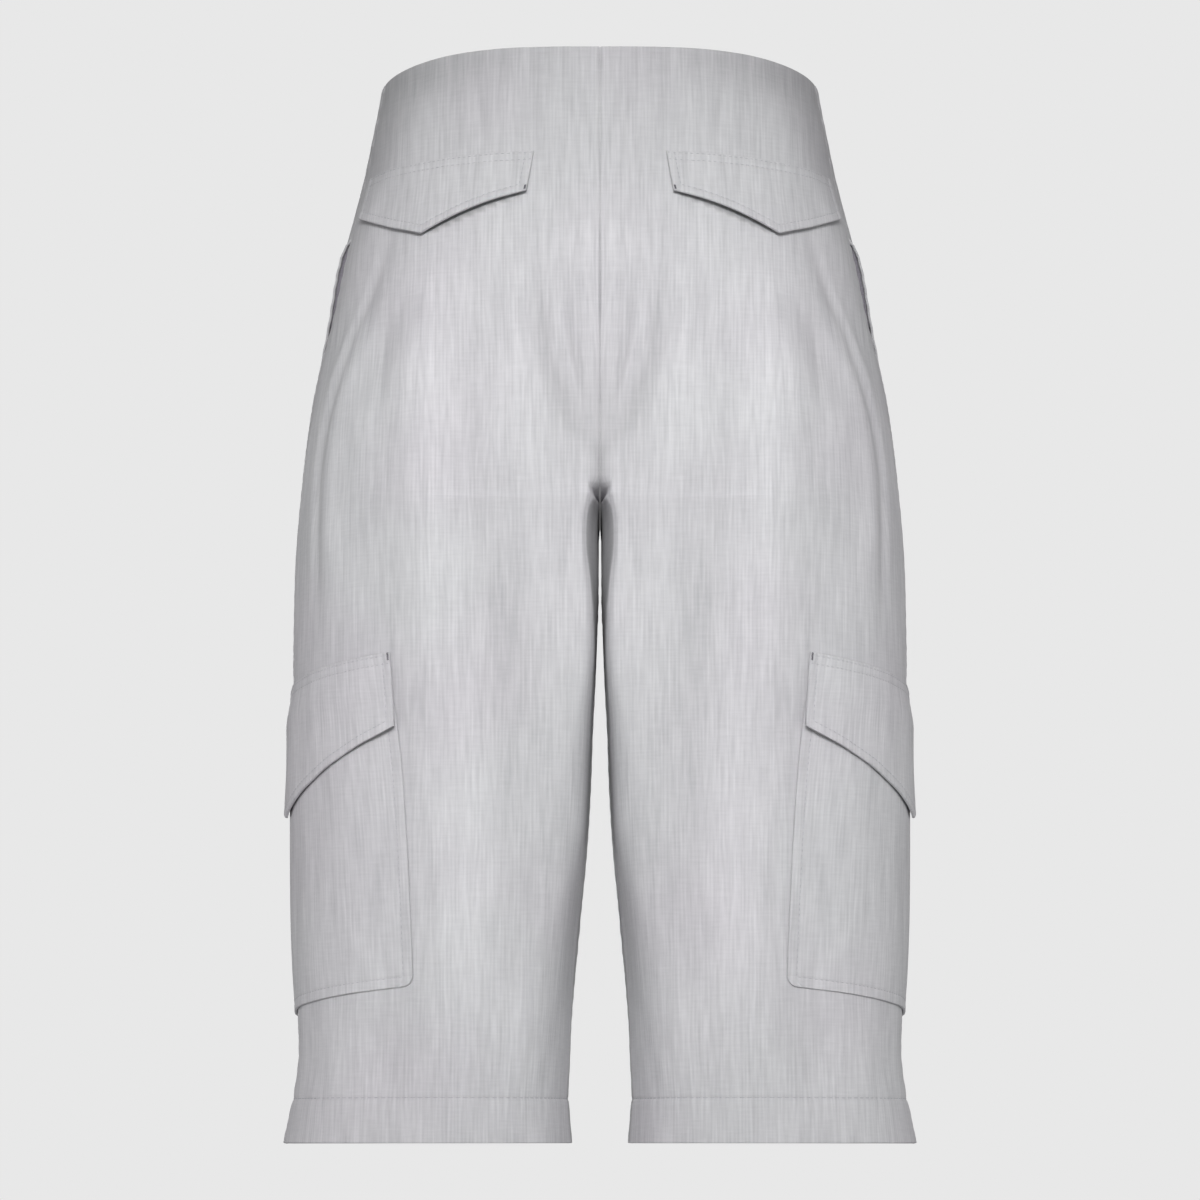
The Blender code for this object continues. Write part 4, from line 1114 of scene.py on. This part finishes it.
def buildFly():
    outer, inner, uv, _ = flyStrip(fly["zipHalf"], -fly["zipHalf"], fly["zipLength"], fly["zipBehind"])
    tape = wallObject("fly_zip_tape", "fly_zip", outer, inner, uv, zipTape, slot="zip_tape")
    outer, inner, uv, _ = flyStrip(fly["shieldLeft"], fly["shieldRight"], fly["shieldLength"],
                                   fly["shieldBehind"])
    return tape, wallObject("fly_shield_cloth", "fly_shield", outer, inner, uv, suitingCloth)


bags = buildBags()
zipTapePiece, shieldPiece = buildFly()
zipPieces = buildZip()
print("shorts: inside pieces ready")

# Cut sizes of the cloth: width, length and, where the outline is no rectangle, area

flatSizes = {"back": (0.345, 0.640, 0.165), "front": (0.300, 0.625, 0.160)}
for name, piece in panels.items():
    width, length, area = flatSizes[name.split("_")[0]]
    sewn = [hemStitches[name.split("_")[1]]] if name.startswith("back") else []
    if name == "front_left":
        sewn = [flyStitches]
    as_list(sewn)
for side in ("left", "right"):
    piece, sewn = backFlaps[side]
    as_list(sewn)
    piece, sewn = cargoPockets[side]
    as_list(sewn)
    piece, sewn = cargoFlaps[side]
    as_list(sewn)

# Floor, light and camera

studio = {"floor": -0.750, "size": 7.8, "paper": "#e8e8e8", "world": 0.30,
          "key": 360.0, "low": 46.0, "fill": 66.0, "side": 4.5}


def stageObject(name, vertices, faces):
    # Evenly lit backdrop paper. It is only seen: it throws no light or shade on what stands before it
    material, _, shader = newMaterial(name)
    shader.inputs["Emission Color"].default_value = linear(studio["paper"])
    shader.inputs["Emission Strength"].default_value = 1.0
    shader.inputs["Base Color"].default_value = (0.0, 0.0, 0.0, 1.0)
    shader.inputs["Specular IOR Level"].default_value = 0.0
    paper = meshObject(name, vertices, faces, material)
    paper.visible_diffuse = False
    paper.visible_glossy = False
    paper.visible_shadow = False


def buildStage():
    # A round floor, and a round wall and ceiling about it: size x (cos turn x cos rise, sin turn x
    # cos rise, sin rise)
    turn = np.linspace(0, 2 * np.pi, 64, endpoint=False)
    size = studio["size"]
    ring = size * np.stack([np.cos(turn), np.sin(turn), 0 * turn], axis=-1)
    stageObject("floor", ring + np.array([0.0, 0.0, studio["floor"]]), [list(range(len(turn)))])
    rise = np.linspace(-0.2, np.pi / 2 - 0.02, 17)[:, None, None]
    dome = ring * np.cos(rise) + np.array([0.0, 0.0, size]) * np.sin(rise)
    walls, caps = tubeFaces(1, *dome.shape[:2])
    stageObject("backdrop", dome.reshape(-1, 3), walls[:, ::-1].tolist() + [caps[1].tolist()])


def addLight(kind, name, place, target, size, power, cone=24.0):
    # A soft light that faces its target: a square one, or a round one with a soft-edged cone
    light = bpy.data.lights.new(name, kind)
    light.energy = power
    if kind == "SPOT":
        light.shadow_soft_size = size / 2
        light.spot_size = np.radians(cone)
        light.spot_blend = 1.0
    else:
        light.size = size
    lamp = bpy.data.objects.new(name, light)
    lamp.visible_camera = False
    lamp.location = place
    aim = np.array(target) - np.array(place)
    lamp.rotation_euler = (np.arctan2(np.hypot(aim[0], aim[1]), -aim[2]), 0.0, np.arctan2(-aim[0], aim[1]))
    bpy.context.scene.collection.objects.link(lamp)


def buildStudio():
    world = bpy.data.worlds.new("studio")
    world.use_nodes = True
    world.node_tree.nodes["Background"].inputs["Color"].default_value = (1.0, 1.0, 1.0, 1.0)
    world.node_tree.nodes["Background"].inputs["Strength"].default_value = studio["world"]
    bpy.context.scene.world = world
    addLight("SPOT", "key", (0.0, -2.6, 0.30), (0.0, 0.0, -0.27), 0.9, studio["key"])
    addLight("SPOT", "lowLeft", (-1.9, -1.9, -0.70), (0.0, 0.0, -0.60), 0.7, studio["low"], 20.0)
    addLight("SPOT", "lowRight", (1.9, -1.9, -0.70), (0.0, 0.0, -0.60), 0.7, studio["low"], 20.0)
    addLight("AREA", "fill", (0.0, 2.6, 0.10), (0.0, 0.0, -0.30), 1.6, studio["fill"])
    addLight("AREA", "sideLeft", (-2.6, 0.0, -0.45), (0.0, 0.0, -0.40), 0.8, studio["side"])
    addLight("AREA", "sideRight", (2.6, 0.0, -0.45), (0.0, 0.0, -0.40), 0.8, studio["side"])


def buildCamera():
    # At the photo's angle: from behind, looking up by atan(0.31 / 2.5)
    view = bpy.data.cameras.new("camera")
    view.sensor_width = 36.0
    view.lens = 130.3
    camera = bpy.data.objects.new("camera", view)
    camera.location = (0.0, -2.5, -0.607)
    camera.rotation_euler = (np.pi / 2 + np.arctan2(0.31, 2.5), 0.0, 0.0)
    bpy.context.scene.collection.objects.link(camera)
    bpy.context.scene.camera = camera


buildStage()
buildStudio()
buildCamera()
bpy.context.scene.view_settings.view_transform = "Standard"
print("shorts: studio ready")
